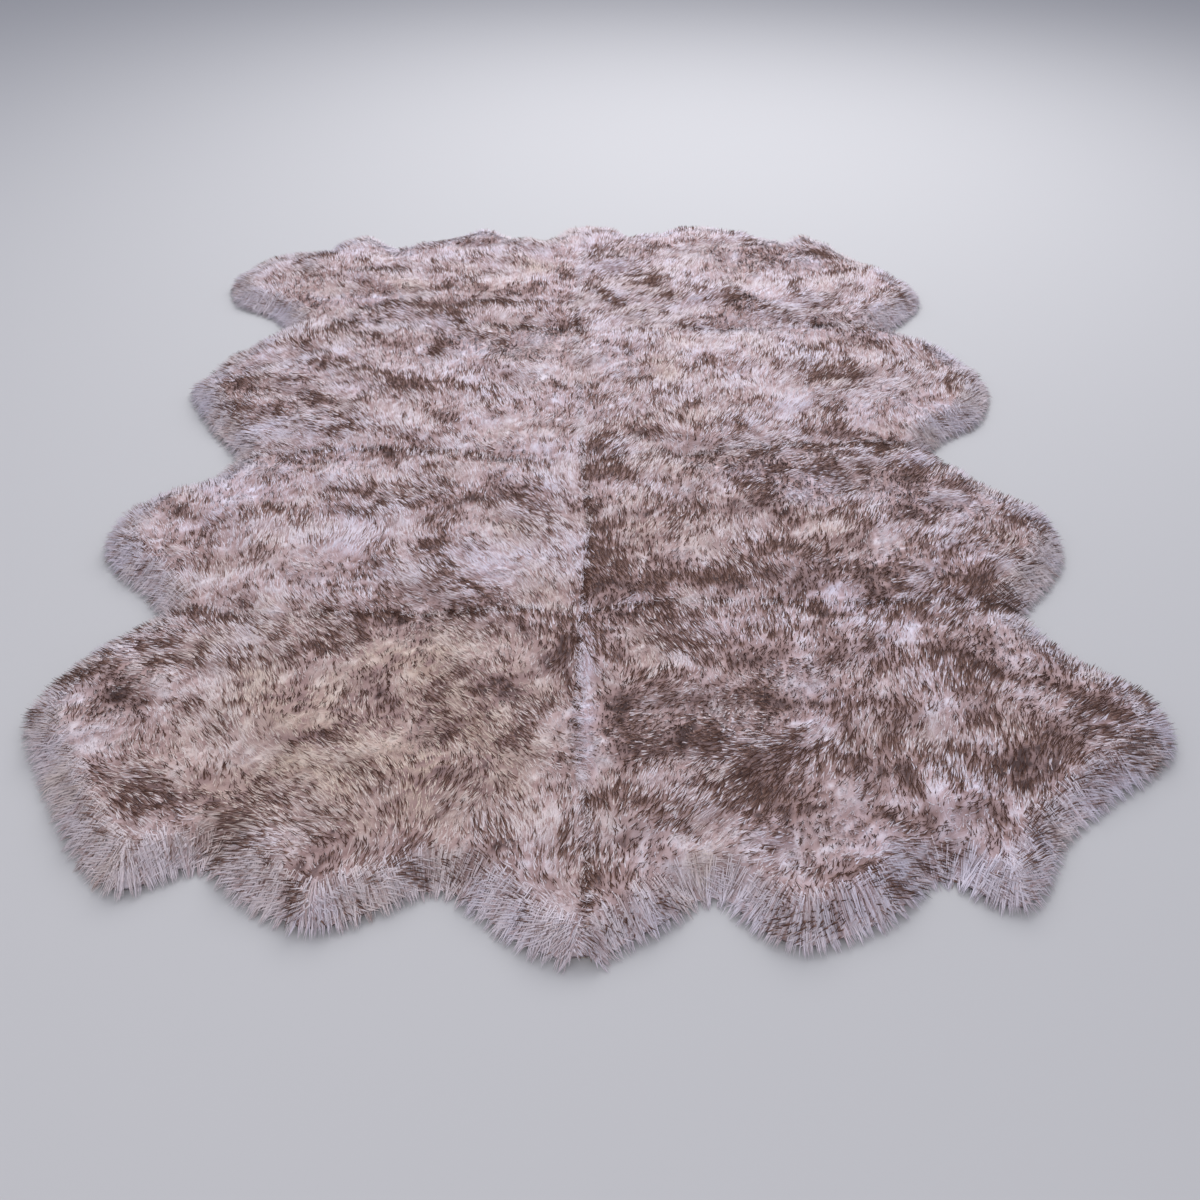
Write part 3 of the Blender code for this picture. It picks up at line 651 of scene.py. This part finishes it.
        (0.35, -1.085, 0.034, 0.024, 0, 0.30), (0.73, -0.575, 0.045, 0.018, -25, -0.36),
        (0.71, -0.745, 0.035, 0.018, 0, -0.30), (0.83, -0.71, 0.034, 0.024, 0, -0.30),
        (0.55, -0.83, 0.035, 0.020, 0, -0.26), (0.35, -0.73, 0.035, 0.024, 0, -0.26),
        (0.36, -0.82, 0.030, 0.024, 0, -0.26), (0.80, -0.96, 0.050, 0.120, -52, -0.34),
        (0.012, -0.76, 0.011, 0.150, 0, -0.50), (0.12, -0.67, 0.035, 0.030, 0, -0.24),
        (0.20, -1.07, 0.070, 0.026, 0, -0.30), (0.56, -1.09, 0.070, 0.026, 0, -0.28))),
}
# patches of cream wool, given in the same way
CREAM_PATCHES = (
    (-0.31, -0.82, 0.380, 0.260, 0, 1.05), (-0.20, -0.60, 0.140, 0.060, 0, 0.40),
    (-0.06, -0.47, 0.080, 0.050, 0, 0.50), (-0.12, -0.28, 0.080, 0.050, 0, 0.40),
    (0.17, -0.10, 0.100, 0.080, 0, 0.50), (0.14, -0.30, 0.100, 0.090, 0, 0.50),
    (0.76, -0.31, 0.070, 0.100, 0, 0.35), (-0.12, 0.87, 0.070, 0.060, 0, 0.60),
    (-0.24, 0.75, 0.060, 0.040, 0, 0.40), (-0.45, 0.78, 0.080, 0.040, 0, 0.40),
    (-0.66, 0.74, 0.060, 0.040, 0, 0.35), (0.18, 0.28, 0.034, 0.070, 10, 0.60),
    (0.24, 0.10, 0.040, 0.060, 15, 0.50), (0.56, 0.27, 0.070, 0.050, 0, 0.50),
    (0.10, 0.06, 0.090, 0.050, 0, 0.45), (0.75, 0.03, 0.050, 0.040, 0, 0.35),
    (0.20, 0.86, 0.040, 0.024, 0, 0.45), (0.42, -0.30, 0.120, 0.080, 20, 0.35),
    (0.66, -0.84, 0.120, 0.080, 0, 0.25), (-0.62, 0.16, 0.120, 0.060, 0, 0.25),
    (0.008, -0.72, 0.016, 0.260, 0, -0.70),
)


def marked(table):
    """The sum of soft oval patches."""
    field = np.zeros_like(top)
    for x, y, long, wide, turn, strength in table:
        c, s = math.cos(math.radians(turn)), math.sin(math.radians(turn))
        u = ((grid_x - x) * c + (grid_y - y) * s) / long
        v = (-(grid_x - x) * s + (grid_y - y) * c) / wide
        field += strength * np.exp(-(u * u + v * v))
    return field


dark = marked([blotch for _, blotches in SKINS.values() for blotch in blotches])
dark *= BLOTCH_STRENGTH
dark = np.where(dark > 0, BLOTCH_LIMIT * np.tanh(dark / BLOTCH_LIMIT), dark)
dark += 0.05 * cloud(34, 0.055, 0.040) + 0.13 * cloud(31, 0.022, 0.017)
dark += 0.14 * cloud(32, 0.0095, 0.0085) - DYE_LESS
dark -= DYE_LESS_AT_RIM * (1 - inner)
cream = marked(CREAM_PATCHES) + 0.14 * cloud(33, 0.030, 0.025)

# Wisps: how the finish is read along each, its dye from the tip down and its place between
# white and cream, and how the wool around it faces, which its shading follows.
MAP_WIDTH = 0.045
MAP_ENDS = (0.02, 0.985)
WISP_FLATNESS = 0.7
ROW_PITCH = 0.866
PLACE_ODDS = 0.42
FACING_OUT = 0.3
FACING_SLOPES = 2.2
FACING_UP = 1.25
FACING_UP_AT_RIM = 1.6
TUFT_DYE = 0.11
CHANCE_DYE = 0.74
DYE_START = 0.24
DYE_RANGE = 0.47
CREAM_BASE = 0.18
CREAM_GAIN = 0.62
CREAM_MOST = 0.95
TUFT_CREAM = 0.06


def within(x, y, loop):
    """Which places lie inside an outline."""
    inside = np.zeros(x.shape, bool)
    for (x0, y0), (x1, y1) in zip(loop, np.roll(loop, -1, axis=0)):
        crosses = (y0 > y) != (y1 > y)
        rise = y1 - y0 if y1 != y0 else 1.0
        inside ^= crosses & (x < x0 + (y - y0) * (x1 - x0) / rise)
    return inside


def scatter(loop, pitch, rng):
    """Uneven but even-handed places all over the inside of an outline."""
    low, high = loop.min(axis=0), loop.max(axis=0)
    rows = int((high[1] - low[1]) / (pitch * ROW_PITCH)) + 2
    across = int((high[0] - low[0]) / pitch) + 2
    i, j = np.meshgrid(np.arange(across), np.arange(rows))
    x = low[0] + (i + 0.5 * (j % 2)) * pitch
    y = low[1] + j * pitch * ROW_PITCH
    x = x.ravel() + rng.uniform(-PLACE_ODDS, PLACE_ODDS, x.size) * pitch
    y = y.ravel() + rng.uniform(-PLACE_ODDS, PLACE_ODDS, y.size) * pitch
    kept = within(x, y, loop)
    return x[kept], y[kept]


def facing_at(x, y):
    """Which way the wool's surface faces, turning outwards at the rim."""
    return unit(np.column_stack([
        FACING_OUT * at(out_x, x, y) - FACING_SLOPES * at(rise_x, x, y),
        FACING_OUT * at(out_y, x, y) - FACING_SLOPES * at(rise_y, x, y),
        FACING_UP + FACING_UP_AT_RIM * (1 - at(inner, x, y))]))


def dye_and_shade(x, y, base, chance, traits):
    """How deep the dark dye, with the painted shade that the markings carry, reaches down each lock,
    from nought to one.
    """
    amount = base + at(dark, x, y) + TUFT_DYE * traits[:, 2] + CHANCE_DYE * (chance - 0.5)
    return np.clip((amount - DYE_START) / DYE_RANGE, 0, 1)


def tint(x, y, traits, rng):
    """Where on the map from white to cream each lock is read."""
    amount = CREAM_BASE + CREAM_GAIN * at(cream, x, y) + TUFT_CREAM * traits[:, 3]
    return np.clip(amount + rng.uniform(-TUFT_CREAM, TUFT_CREAM, len(x)), 0.0, CREAM_MOST)


# Standing wool: wisps of about 18 mm rooted in the lower wool. They lean outwards and with
# slow swirls, part at the centre seam, gather into curls and tufts, and cross the seams.
WISP_PITCH = 0.0053
WISP_LENGTH = 0.0175
WISP_GIRTH = 0.00140
LENGTH_SHARES = (0.72, 1.22)
GIRTH_SHARES = (0.75, 1.25)
DYED_GIRTH = 0.30
CURL_PITCH = 0.0135
CURL_MIDDLE = 0.45
CURL_RISE = 0.003
TOP_ODDS = 0.0005
TIP_HEIGHTS = (0.0015, 0.064)
UPRIGHT = 0.75
RIM_DROOP = 0.35
SWIRL_LEAN = 0.32
DRIFT_LEAN = 0.22
BACK_LEAN = 0.20
SIDE_LEAN = 0.34
CENTRE_PARTING = 0.09
TUFT_LEAN = 0.10
STRAY_LEAN = 0.14
TUFT_PULL = 0.40
CURL_PULL = 0.55
FORWARD_LEAN = 0.5
SIDE_SWAY = 0.50
SWIRL_SWAY = 2.0
TUFT_SWAY = 1.4
FLANK_TWIST = 0.35
SEAM_WISPS_PER_METRE = 650
SEAM_WISP_PLACES = (0.001, 0.011)
SEAM_END = 0.01
SEAM_CROSSING = 0.7
SEAM_PALER = 0.06
CURL_DYE = 1.6
PALE_ODDS = (-0.35, 1.35)
HOLLOW_SHADE = 0.75
CURL_LIGHT = 1.2
OWN_LIGHT = 0.4
DULL_START = 0.15
DULL_RANGE = (-0.4, 0.8)
# where a wisp's root, in painted shade, and its tip are read on the map from deep shade over
# white to dark: undyed, paler by, duller by, dyed, and how the dye sets in
WISP_ENDS = ((0.29, 0.13, 0.28, 0.66, 1.6), (0.48, 0.06, 0.15, 0.90, 0.8))


def beside_seam(points, free, rng):
    """Places close behind a skin's seams, with the way across the join at each."""
    seam = np.vstack([points[free - 1:], points[:1]])
    run = run_of(seam)
    total = int(run[-1] * SEAM_WISPS_PER_METRE)
    place = rng.uniform(SEAM_END, run[-1] - SEAM_END, total)
    turn = left_of(seam)
    turn = unit(np.column_stack([np.interp(place, run, turn[:, k]) for k in (0, 1)]))
    spot = np.column_stack([np.interp(place, run, seam[:, k]) for k in (0, 1)])
    x, y = (spot + turn * rng.uniform(*SEAM_WISP_PLACES, total)[:, None]).T
    return x, y, -turn


def standing_wool(skin, x, y, over, rng):
    """Wisps at the given places, leaning also the way that is given as over."""
    count = len(x)
    to, traits = gather(x, y, TUFT_PITCH)
    curl, own = gather(x, y, CURL_PITCH)
    middle = CURL_MIDDLE - np.linalg.norm(curl, axis=1)
    edge = 1 - at(inner, x, y)
    lean = np.column_stack([
        at(out_x, x, y) + SWIRL_LEAN * at(swirl_x, x, y) + DRIFT_LEAN * at(drift_x, x, y),
        at(out_y, x, y) + SWIRL_LEAN * at(swirl_y, x, y) + DRIFT_LEAN * at(drift_y, x, y)])
    lean[:, 0] += SIDE_LEAN * np.clip(x / CENTRE_PARTING, -1, 1)
    lean[:, 1] += BACK_LEAN
    lean += TUFT_LEAN * traits[:, :2] + STRAY_LEAN * rng.standard_normal((count, 2))
    lean += SEAM_CROSSING * over
    lean += (TUFT_PULL * to + CURL_PULL * curl) * (1 - edge)[:, None]
    forward = np.clip(-lean[:, 1] / FORWARD_LEAN, 0, 1)
    sway = np.tanh(SWIRL_SWAY * at(swirl_x, x, y) + TUFT_SWAY * traits[:, 0])
    lean[:, 0] += SIDE_SWAY * forward * sway
    rise = unit(np.column_stack([-at(rise_x, x, y), -at(rise_y, x, y), np.ones(count)]))
    rise *= (UPRIGHT - RIM_DROOP * edge)[:, None]
    heading = unit(rise + np.column_stack([lean, np.zeros(count)]))
    length = WISP_LENGTH * rng.uniform(*LENGTH_SHARES, count)
    peak = at(height, x, y) + TOP_ODDS * rng.standard_normal(count) + CURL_RISE * middle
    path = np.zeros((count, 2, 3))
    path[:, 0, :2] = np.column_stack([x, y])
    path[:, 0, 2] = np.maximum(peak - heading[:, 2] * length, HIDE_TOP)
    path[:, 1] = path[:, 0] + heading * length[:, None]
    path[:, 1, 2] = np.clip(path[:, 1, 2], *TIP_HEIGHTS)
    flank = np.column_stack([-lean[:, 1], lean[:, 0], np.zeros(count)])
    flank += FLANK_TWIST * rng.standard_normal((count, 3)) * [1, 1, 0.2]
    base = SKINS[skin][0] - SEAM_PALER * np.linalg.norm(over, axis=1)
    depth = dye_and_shade(x, y, base, rng.uniform(0, 1, count), traits + CURL_DYE * own)
    girths = WISP_GIRTH * (rng.uniform(*GIRTH_SHARES, count) * (1 + DYED_GIRTH * depth))[:, None]
    across = np.column_stack([tint(x, y, traits, rng), np.full(count, MAP_WIDTH)])
    # pale: tone that differs at random, with painted shade in the hollows and painted light on the
    # middles of curls
    pale = rng.uniform(*PALE_ODDS, count) - HOLLOW_SHADE * at(hollow, x, y)
    pale += CURL_LIGHT * middle + OWN_LIGHT * own[:, 3]
    dull = np.clip(base + at(dark, x, y) - DULL_START, *DULL_RANGE)
    along = []
    for undyed, paler, duller, dyed, bend in WISP_ENDS:
        tone = undyed + paler * pale - duller * dull
        along.append(tone + (dyed - tone) * depth ** bend)
    along = np.clip(np.column_stack(along), *MAP_ENDS)
    facing = np.repeat(facing_at(x, y)[:, None], 2, axis=1)
    return grow(path, girths, flank, WISP_FLATNESS, across, along, facing)


# Rim wool: thick, middling and fine hair rooted up to 64 mm behind the free edge, and
# combed out over it in 10 mm tufts, so that it droops to the floor all round.
RIM_LOCK = {"per_metre": 160, "girth": 0.0012, "points": 4}
RIM_WISP = {"per_metre": 2000, "girth": 0.00085, "points": 3}
RIM_HAIR = {"per_metre": 2700, "girth": 0.00060, "points": 2}
RIM_BENDS = {4: (0.0, 0.36, 0.72, 1.0), 3: (0.0, 0.55, 1.0), 2: (0.55, 1.0)}
RIM_LIFTS = (-0.004, 0.0012, 0.0016, 0.0012)
LIFT_ODDS = 0.0012
RIM_TAPER = (1.0, 0.9, 0.5)
RIM_GIRTHS = (0.6, 1.25)
RIM_TUFT = 0.010
RIM_GATHER = 0.40
RIM_SWAY = 0.0035
ROOTS_BEHIND = (0.014, 0.050)
ENDS_BEHIND = (-0.003, 0.033)
LAYER_BEND = 1.3
RIM_OVERHANG = 0.0065
OVERHANG_ODDS = 0.007
END_ODDS = 0.0008
KINK = 0.0009
RIM_TWIST = 0.3
TUFT_ROUND = 1.1
RIM_SINK = 0.45
RIM_LOWEST = 0.0008
OFF_FLOOR = 0.0006
RIM_DYED = 0.6
RIM_PALER = 0.30
RIM_DYED_RANGE = (0.03, 0.8)
RIM_PALE_ODDS = (-0.01, 0.09)
RIM_BRIGHT = 0.025
RIM_PATCHES = 0.035
RIM_SHADE = 0.05
SHADE_BEND = 1.5
RIM_DULL = 0.16
RIM_DULL_RANGE = (-0.6, 0.8)
TUFT_TONE = 0.07
TUFT_FLANK_SHADE = 0.30
# where hair is read on the map at up to four points, the lowest of four in painted shade:
# undyed, paler by, dyed by
RIM_TONES = ((0.38, 1.0, 0.0), (0.47, 1.0, 0.1), (0.52, 0.7, 0.25), (0.55, 0.7, 0.35))


def rim_wool(skin, points, free, kind, rng):
    """One kind of hair all along a skin's free edge; sines of a tuft's number vary the tufts."""
    zigzag = points[:free]
    edge = soften(zigzag, RIM_EVENING)
    base = soften(zigzag, RIM_EVENING + 1)
    inward = left_of(base)
    run = run_of(base)
    total = int(run[-1] * kind["per_metre"])
    place = np.sort(rng.uniform(0, run[-1], total))
    tuft = np.round(place / RIM_TUFT) + 0.3 * np.sin(7.3 * np.round(place / RIM_TUFT))
    reach = place + (tuft * RIM_TUFT - place) * RIM_GATHER
    index = np.arange(free)

    def read(line, where):
        k = np.interp(where, run, index)
        return np.column_stack([np.interp(k, index, line[:, axis]) for axis in (0, 1)])

    turn = unit(read(inward, place))
    layer = rng.uniform(0, 1, total)
    behind = layer[:, None] ** LAYER_BEND
    root = read(base, place) + turn * (ROOTS_BEHIND[0] + ROOTS_BEHIND[1] * behind)
    end = read(edge, reach) + turn * (ENDS_BEHIND[0] + ENDS_BEHIND[1] * behind)
    end -= turn * (RIM_OVERHANG + OVERHANG_ODDS * rng.uniform(-0.5, 1.0, total))[:, None]
    beside = np.column_stack([-turn[:, 1], turn[:, 0]])
    sway = RIM_SWAY * (np.sin(2.9 * np.round(tuft)) + 0.5 * rng.standard_normal(total))
    end += beside * sway[:, None] + END_ODDS * rng.standard_normal((total, 2))
    path = np.zeros((total, kind["points"], 3))
    facing = np.zeros_like(path)
    off = place / RIM_TUFT - tuft
    for i, share in enumerate(RIM_BENDS[kind["points"]]):
        spot = root * (1 - share) + end * share
        path[:, i, :2] = spot
        lift = RIM_LIFTS[i] + LIFT_ODDS * rng.uniform(-1, 1, total)
        rest = at(height, *spot.T) * (1 - RIM_SINK * share)
        path[:, i, 2] = np.maximum(rest + lift, RIM_LOWEST)
        facing[:, i] = facing_at(*spot.T)
        facing[:, i, :2] -= beside * (off * TUFT_ROUND)[:, None]
    path[:, 1:-1, :2] += KINK * rng.standard_normal((total, kind["points"] - 2, 2))
    flank = np.column_stack([beside, np.zeros(total)])
    flank += RIM_TWIST * rng.standard_normal((total, 3))
    size = kind["girth"] * rng.uniform(*RIM_GIRTHS, total)
    girths = size[:, None] * RIM_TAPER[:kind["points"] - 1]
    lowest = OFF_FLOOR + WISP_FLATNESS * np.column_stack([girths, np.zeros(total)])
    path[:, :, 2] = np.maximum(path[:, :, 2], lowest)
    _, traits = gather(*root.T, TUFT_PITCH)
    shade = at(dark, *root.T)
    depth = dye_and_shade(*root.T, SKINS[skin][0], rng.uniform(0, 1, total), traits)
    dyed = np.clip(RIM_DYED * layer + shade - RIM_PALER, *RIM_DYED_RANGE)
    depth *= rng.uniform(0, 1, total) < dyed
    across = np.column_stack([tint(*root.T, traits, rng), np.full(total, MAP_WIDTH)])
    # painted shade on the lowest hair and on the flanks of each tuft, with tone varying tuft by tuft
    # and in patches
    pale = rng.uniform(*RIM_PALE_ODDS, total) - RIM_SHADE * (1 - layer) ** SHADE_BEND
    pale -= RIM_DULL * np.clip(SKINS[skin][0] + shade, *RIM_DULL_RANGE)
    pale += TUFT_TONE * np.sin(5.1 * np.round(tuft)) - TUFT_FLANK_SHADE * off ** 2
    pale += RIM_PATCHES * at(swirl_y, *root.T) + RIM_BRIGHT
    tones = RIM_TONES[-kind["points"]:]
    along = np.column_stack([tone + paler * pale + dark_by * depth
                             for tone, paler, dark_by in tones])
    along = np.clip(along, *MAP_ENDS)
    return grow(path, girths, flank, WISP_FLATNESS, across, along, facing)


# Lower wool: the dense matted part of the fleece between hide and wisps. One closed slab on
# each skin, in even cells, whose top follows the tufts and shows a little between the wisps,
# coloured in painted shade darker than the wisps above it.
GROUND_HEIGHT = 0.010
GROUND_LEAST = 0.003
GROUND_DEPTH = 0.0088
GROUND_CELL = 0.0120
GROUND_BEHIND_RIM = 0.007
# the lower wool's place on the map, in painted shade below the wisps
GROUND_PAINTED_SHADE = 0.28
GROUND_DARKER = 0.26
GROUND_DARK_FROM = 0.13
GROUND_DARK_RANGE = (-0.3, 0.9)
CELL_TONE = 0.09
CELL_TINT = 0.030


def matted_ground(skin, outline):
    """A slab cut into even cells, its top raised under the tufts."""
    ground = slab("ground_" + skin, outline, HIDE_TOP, GROUND_HEIGHT)
    bpy.ops.object.mode_set(mode="EDIT")
    corner, end = outline.min(axis=0), outline.max(axis=0)
    for axis, normal in ((0, (1, 0, 0)), (1, (0, 1, 0))):
        for cut in np.arange(corner[axis] + GROUND_CELL / 2, end[axis], GROUND_CELL):
            spot = [0.0, 0.0, 0.0]
            spot[axis] = float(cut)
            bpy.ops.mesh.select_all(action="SELECT")
            bpy.ops.mesh.bisect(plane_co=spot, plane_no=normal)
    bpy.ops.mesh.select_all(action="DESELECT")
    shape = bmesh.from_edit_mesh(ground.data)
    for face in shape.faces:
        face.select = face.normal.z < -0.9
    bmesh.update_edit_mesh(ground.data)
    bpy.ops.mesh.dissolve_faces()
    bpy.ops.mesh.select_all(action="SELECT")
    bpy.ops.mesh.quads_convert_to_tris()
    bpy.ops.object.mode_set(mode="OBJECT")
    spots = np.zeros(len(ground.data.vertices) * 3)
    ground.data.vertices.foreach_get("co", spots)
    spots = spots.reshape(-1, 3)
    x, y = spots[:, 0], spots[:, 1]
    upper = spots[:, 2] > HIDE_TOP + GROUND_HEIGHT / 2
    raised = np.maximum(at(height, x, y) - GROUND_DEPTH, HIDE_TOP + GROUND_LEAST)
    spots[upper, 2] = raised[upper]
    loops = np.zeros(len(ground.data.loops), dtype=np.int32)
    ground.data.loops.foreach_get("vertex_index", loops)
    odd = (np.round((x - corner[0]) / GROUND_CELL) + np.round((y - corner[1]) / GROUND_CELL)) % 2
    _, own = gather(x, y, GROUND_CELL)
    tone = CREAM_BASE + CREAM_GAIN * at(cream, x, y) + CELL_TINT * odd
    shade = np.clip(at(dark, x, y) + GROUND_DARK_FROM, *GROUND_DARK_RANGE)
    depth = GROUND_PAINTED_SHADE - GROUND_DARKER * shade + CELL_TONE * own[:, 1]
    corners = np.column_stack([np.clip(tone, 0, CREAM_MOST), depth])[loops]
    facing = facing_at(x, y)
    facing[~upper] = (0, 0, -1)
    bpy.data.objects.remove(ground)
    return spots, loops.reshape(-1, 3), corners, facing


# Wool finish: read along each wisp from the deep shade at its root over white or cream to
# the dyed tip, streaked with fibres. The lower wool is read from the same map.
DEEP_SHADE = (0.14, 0.092, 0.086, 1.0)
# painted shade low down among the wisps' roots
ROOT_PAINTED_SHADE = (0.43, 0.285, 0.265, 1.0)
WHITE_SHADED = (0.67, 0.510, 0.535, 1.0)
WOOL_WHITE = (0.94, 0.870, 0.97, 1.0)
CREAM_SHADED = (0.58, 0.420, 0.340, 1.0)
WOOL_CREAM = (0.86, 0.690, 0.555, 1.0)
TIP_FAWN = (0.37, 0.230, 0.190, 1.0)
TIP_BROWN = (0.150, 0.078, 0.060, 1.0)
TIP_DARK = (0.048, 0.020, 0.015, 1.0)
HAIR_SHADED = (0.88, 0.87, 0.87, 1.0)
HAIR_LIT = (1.0, 1.0, 1.0, 1.0)
FIBRE_SCALE = (260.0, 5.0, 1.0)
HAIR_SCALE = (700.0, 11.0, 1.0)
FIBRE_ODDS = 0.26

wool, wool_shader, wire = new_finish("tipped wool", 0.9, 0.07, 0.4)
map_place = wire.add("ShaderNodeUVMap", {"uv_map": "OFBake"}, {})
sides = wire.add("ShaderNodeSeparateXYZ", {}, {0: map_place}, 0)
reach = wire.add("ShaderNodeSeparateXYZ", {}, {0: map_place}, 1)
stretched = wire.add("ShaderNodeMapping", {}, {"Vector": map_place, "Scale": FIBRE_SCALE})
fibre = wire.add("ShaderNodeTexNoise", {}, {"Vector": stretched, "Scale": 1.0, "Detail": 3.0})
fine = wire.add("ShaderNodeMapping", {}, {"Vector": map_place, "Scale": HAIR_SCALE})
hair = wire.add("ShaderNodeTexNoise", {}, {"Vector": fine, "Scale": 1.0, "Detail": 2.0})
dyed = reach + (fibre - 0.5) * FIBRE_ODDS
white, creamy = (
    wire.add("ShaderNodeValToRGB", {"stops": [
        (0.02, DEEP_SHADE), (0.18, ROOT_PAINTED_SHADE), (0.34, shaded), (0.48, lit),
        (0.58, lit), (0.67, TIP_FAWN), (0.76, TIP_BROWN), (0.86, TIP_DARK)]}, {"Fac": dyed})
    for shaded, lit in ((WHITE_SHADED, WOOL_WHITE), (CREAM_SHADED, WOOL_CREAM)))
body = wire.add("ShaderNodeMix", {"data_type": "RGBA"}, {0: sides, 6: white, 7: creamy}, 2)
streak = wire.add("ShaderNodeValToRGB", {"stops": [(0.25, HAIR_SHADED), (0.70, HAIR_LIT)]},
                  {"Fac": hair})
shade = wire.add("ShaderNodeMix", {"data_type": "RGBA", "blend_type": "MULTIPLY"},
                 {0: 1.0, 6: body, 7: streak}, 2)
link(wool_shader, "Base Color", shade)
link(wool_shader, "Roughness", 0.82 + hair * 0.16)
link(wool_shader, "Normal", wire.add("ShaderNodeBump", {}, {
    "Strength": 0.4, "Distance": 0.0006, "Height": fibre * 0.6 + hair * 0.4}))

for number, (skin, (points, free)) in enumerate(rims.items()):
    rng = np.random.default_rng(100 + number)
    outline = drawn_in(points, free, GROUND_BEHIND_RIM)
    x, y = scatter(outline, WISP_PITCH, rng)
    parts = [
        matted_ground(skin, outline),
        standing_wool(skin, x, y, np.zeros((len(x), 2)), rng),
        standing_wool(skin, *beside_seam(points, free, rng), rng),
    ]
    parts += [rim_wool(skin, points, free, kind, rng) for kind in (RIM_LOCK, RIM_WISP, RIM_HAIR)]
    fleece = joined_mesh("fleece_" + skin, parts)
    fleece.data.materials.append(wool)
    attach(fleece, "root")
    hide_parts("skin_" + skin)

# Setting: a plain pale floor, a wide soft window behind the rug and two weak fills before
# it, a pale room all round, and the eye at standing height in front of the rug.
FLOOR_COLOUR = (0.60, 0.59, 0.58, 1.0)
FLOOR_SIZE = 14.0
FLOOR_DROP = 0.0002
ROOM_COLOUR = (0.78, 0.82, 1.0, 1.0)
ROOM_STRENGTH = 0.45
# each lamp: where it hangs and points, its size in metres, its power and its colour
LAMPS = {
    "window": ((0.5, 2.1, 2.8), (0.0, 0.1, 0.0), 3.0, 99.5, (0.95, 0.96, 1.0)),
    "fill": ((-1.8, -1.6, 2.8), (0.0, -0.2, 0.0), 2.4, 18.0, (1.0, 0.98, 0.97)),
    "front fill": ((0.4, -3.4, 2.4), (0.0, -0.6, 0.0), 2.0, 20.0, (1.0, 0.98, 0.98)),
}
EYE_PLACE = (0.0231, -2.0707, 1.3278)
EYE_TILT = 50.4
EYE_TURN = -0.303
EYE_LENS = 35.0

bpy.ops.object.select_all(action="DESELECT")
bpy.ops.mesh.primitive_plane_add(size=FLOOR_SIZE, location=(0, 0, -FLOOR_DROP))
floor = bpy.context.object
floor.name = "studio_floor"
bpy.ops.object.transform_apply(location=True, rotation=True, scale=True)
floor_finish, floor_shader, wire = new_finish("pale floor", 0.8, 0.0, 0.5)
floor_shader.inputs["Base Color"].default_value = FLOOR_COLOUR
floor_shader.inputs["Specular IOR Level"].default_value = 0.05
floor.data.materials.append(floor_finish)

room = bpy.data.worlds.new("pale room")
bpy.context.scene.world = room
room.use_nodes = True
room.node_tree.nodes["Background"].inputs["Color"].default_value = ROOM_COLOUR
room.node_tree.nodes["Background"].inputs["Strength"].default_value = ROOM_STRENGTH
for name, (spot, aim, size, power, colour) in LAMPS.items():
    lamp = bpy.data.lights.new(name, "AREA")
    lamp.size = size
    lamp.energy = power
    lamp.color = colour
    holder = bpy.data.objects.new(name, lamp)
    holder.location = spot
    holder.rotation_euler = (Vector(aim) - Vector(spot)).to_track_quat("-Z", "Y").to_euler()
    bpy.context.collection.objects.link(holder)

eye = bpy.data.cameras.new("eye")
eye.lens = EYE_LENS
viewer = bpy.data.objects.new("eye", eye)
viewer.location = EYE_PLACE
viewer.rotation_euler = (math.radians(EYE_TILT), 0.0, math.radians(EYE_TURN))
bpy.context.collection.objects.link(viewer)
bpy.context.scene.camera = viewer
bpy.context.scene.view_settings.view_transform = "Standard"
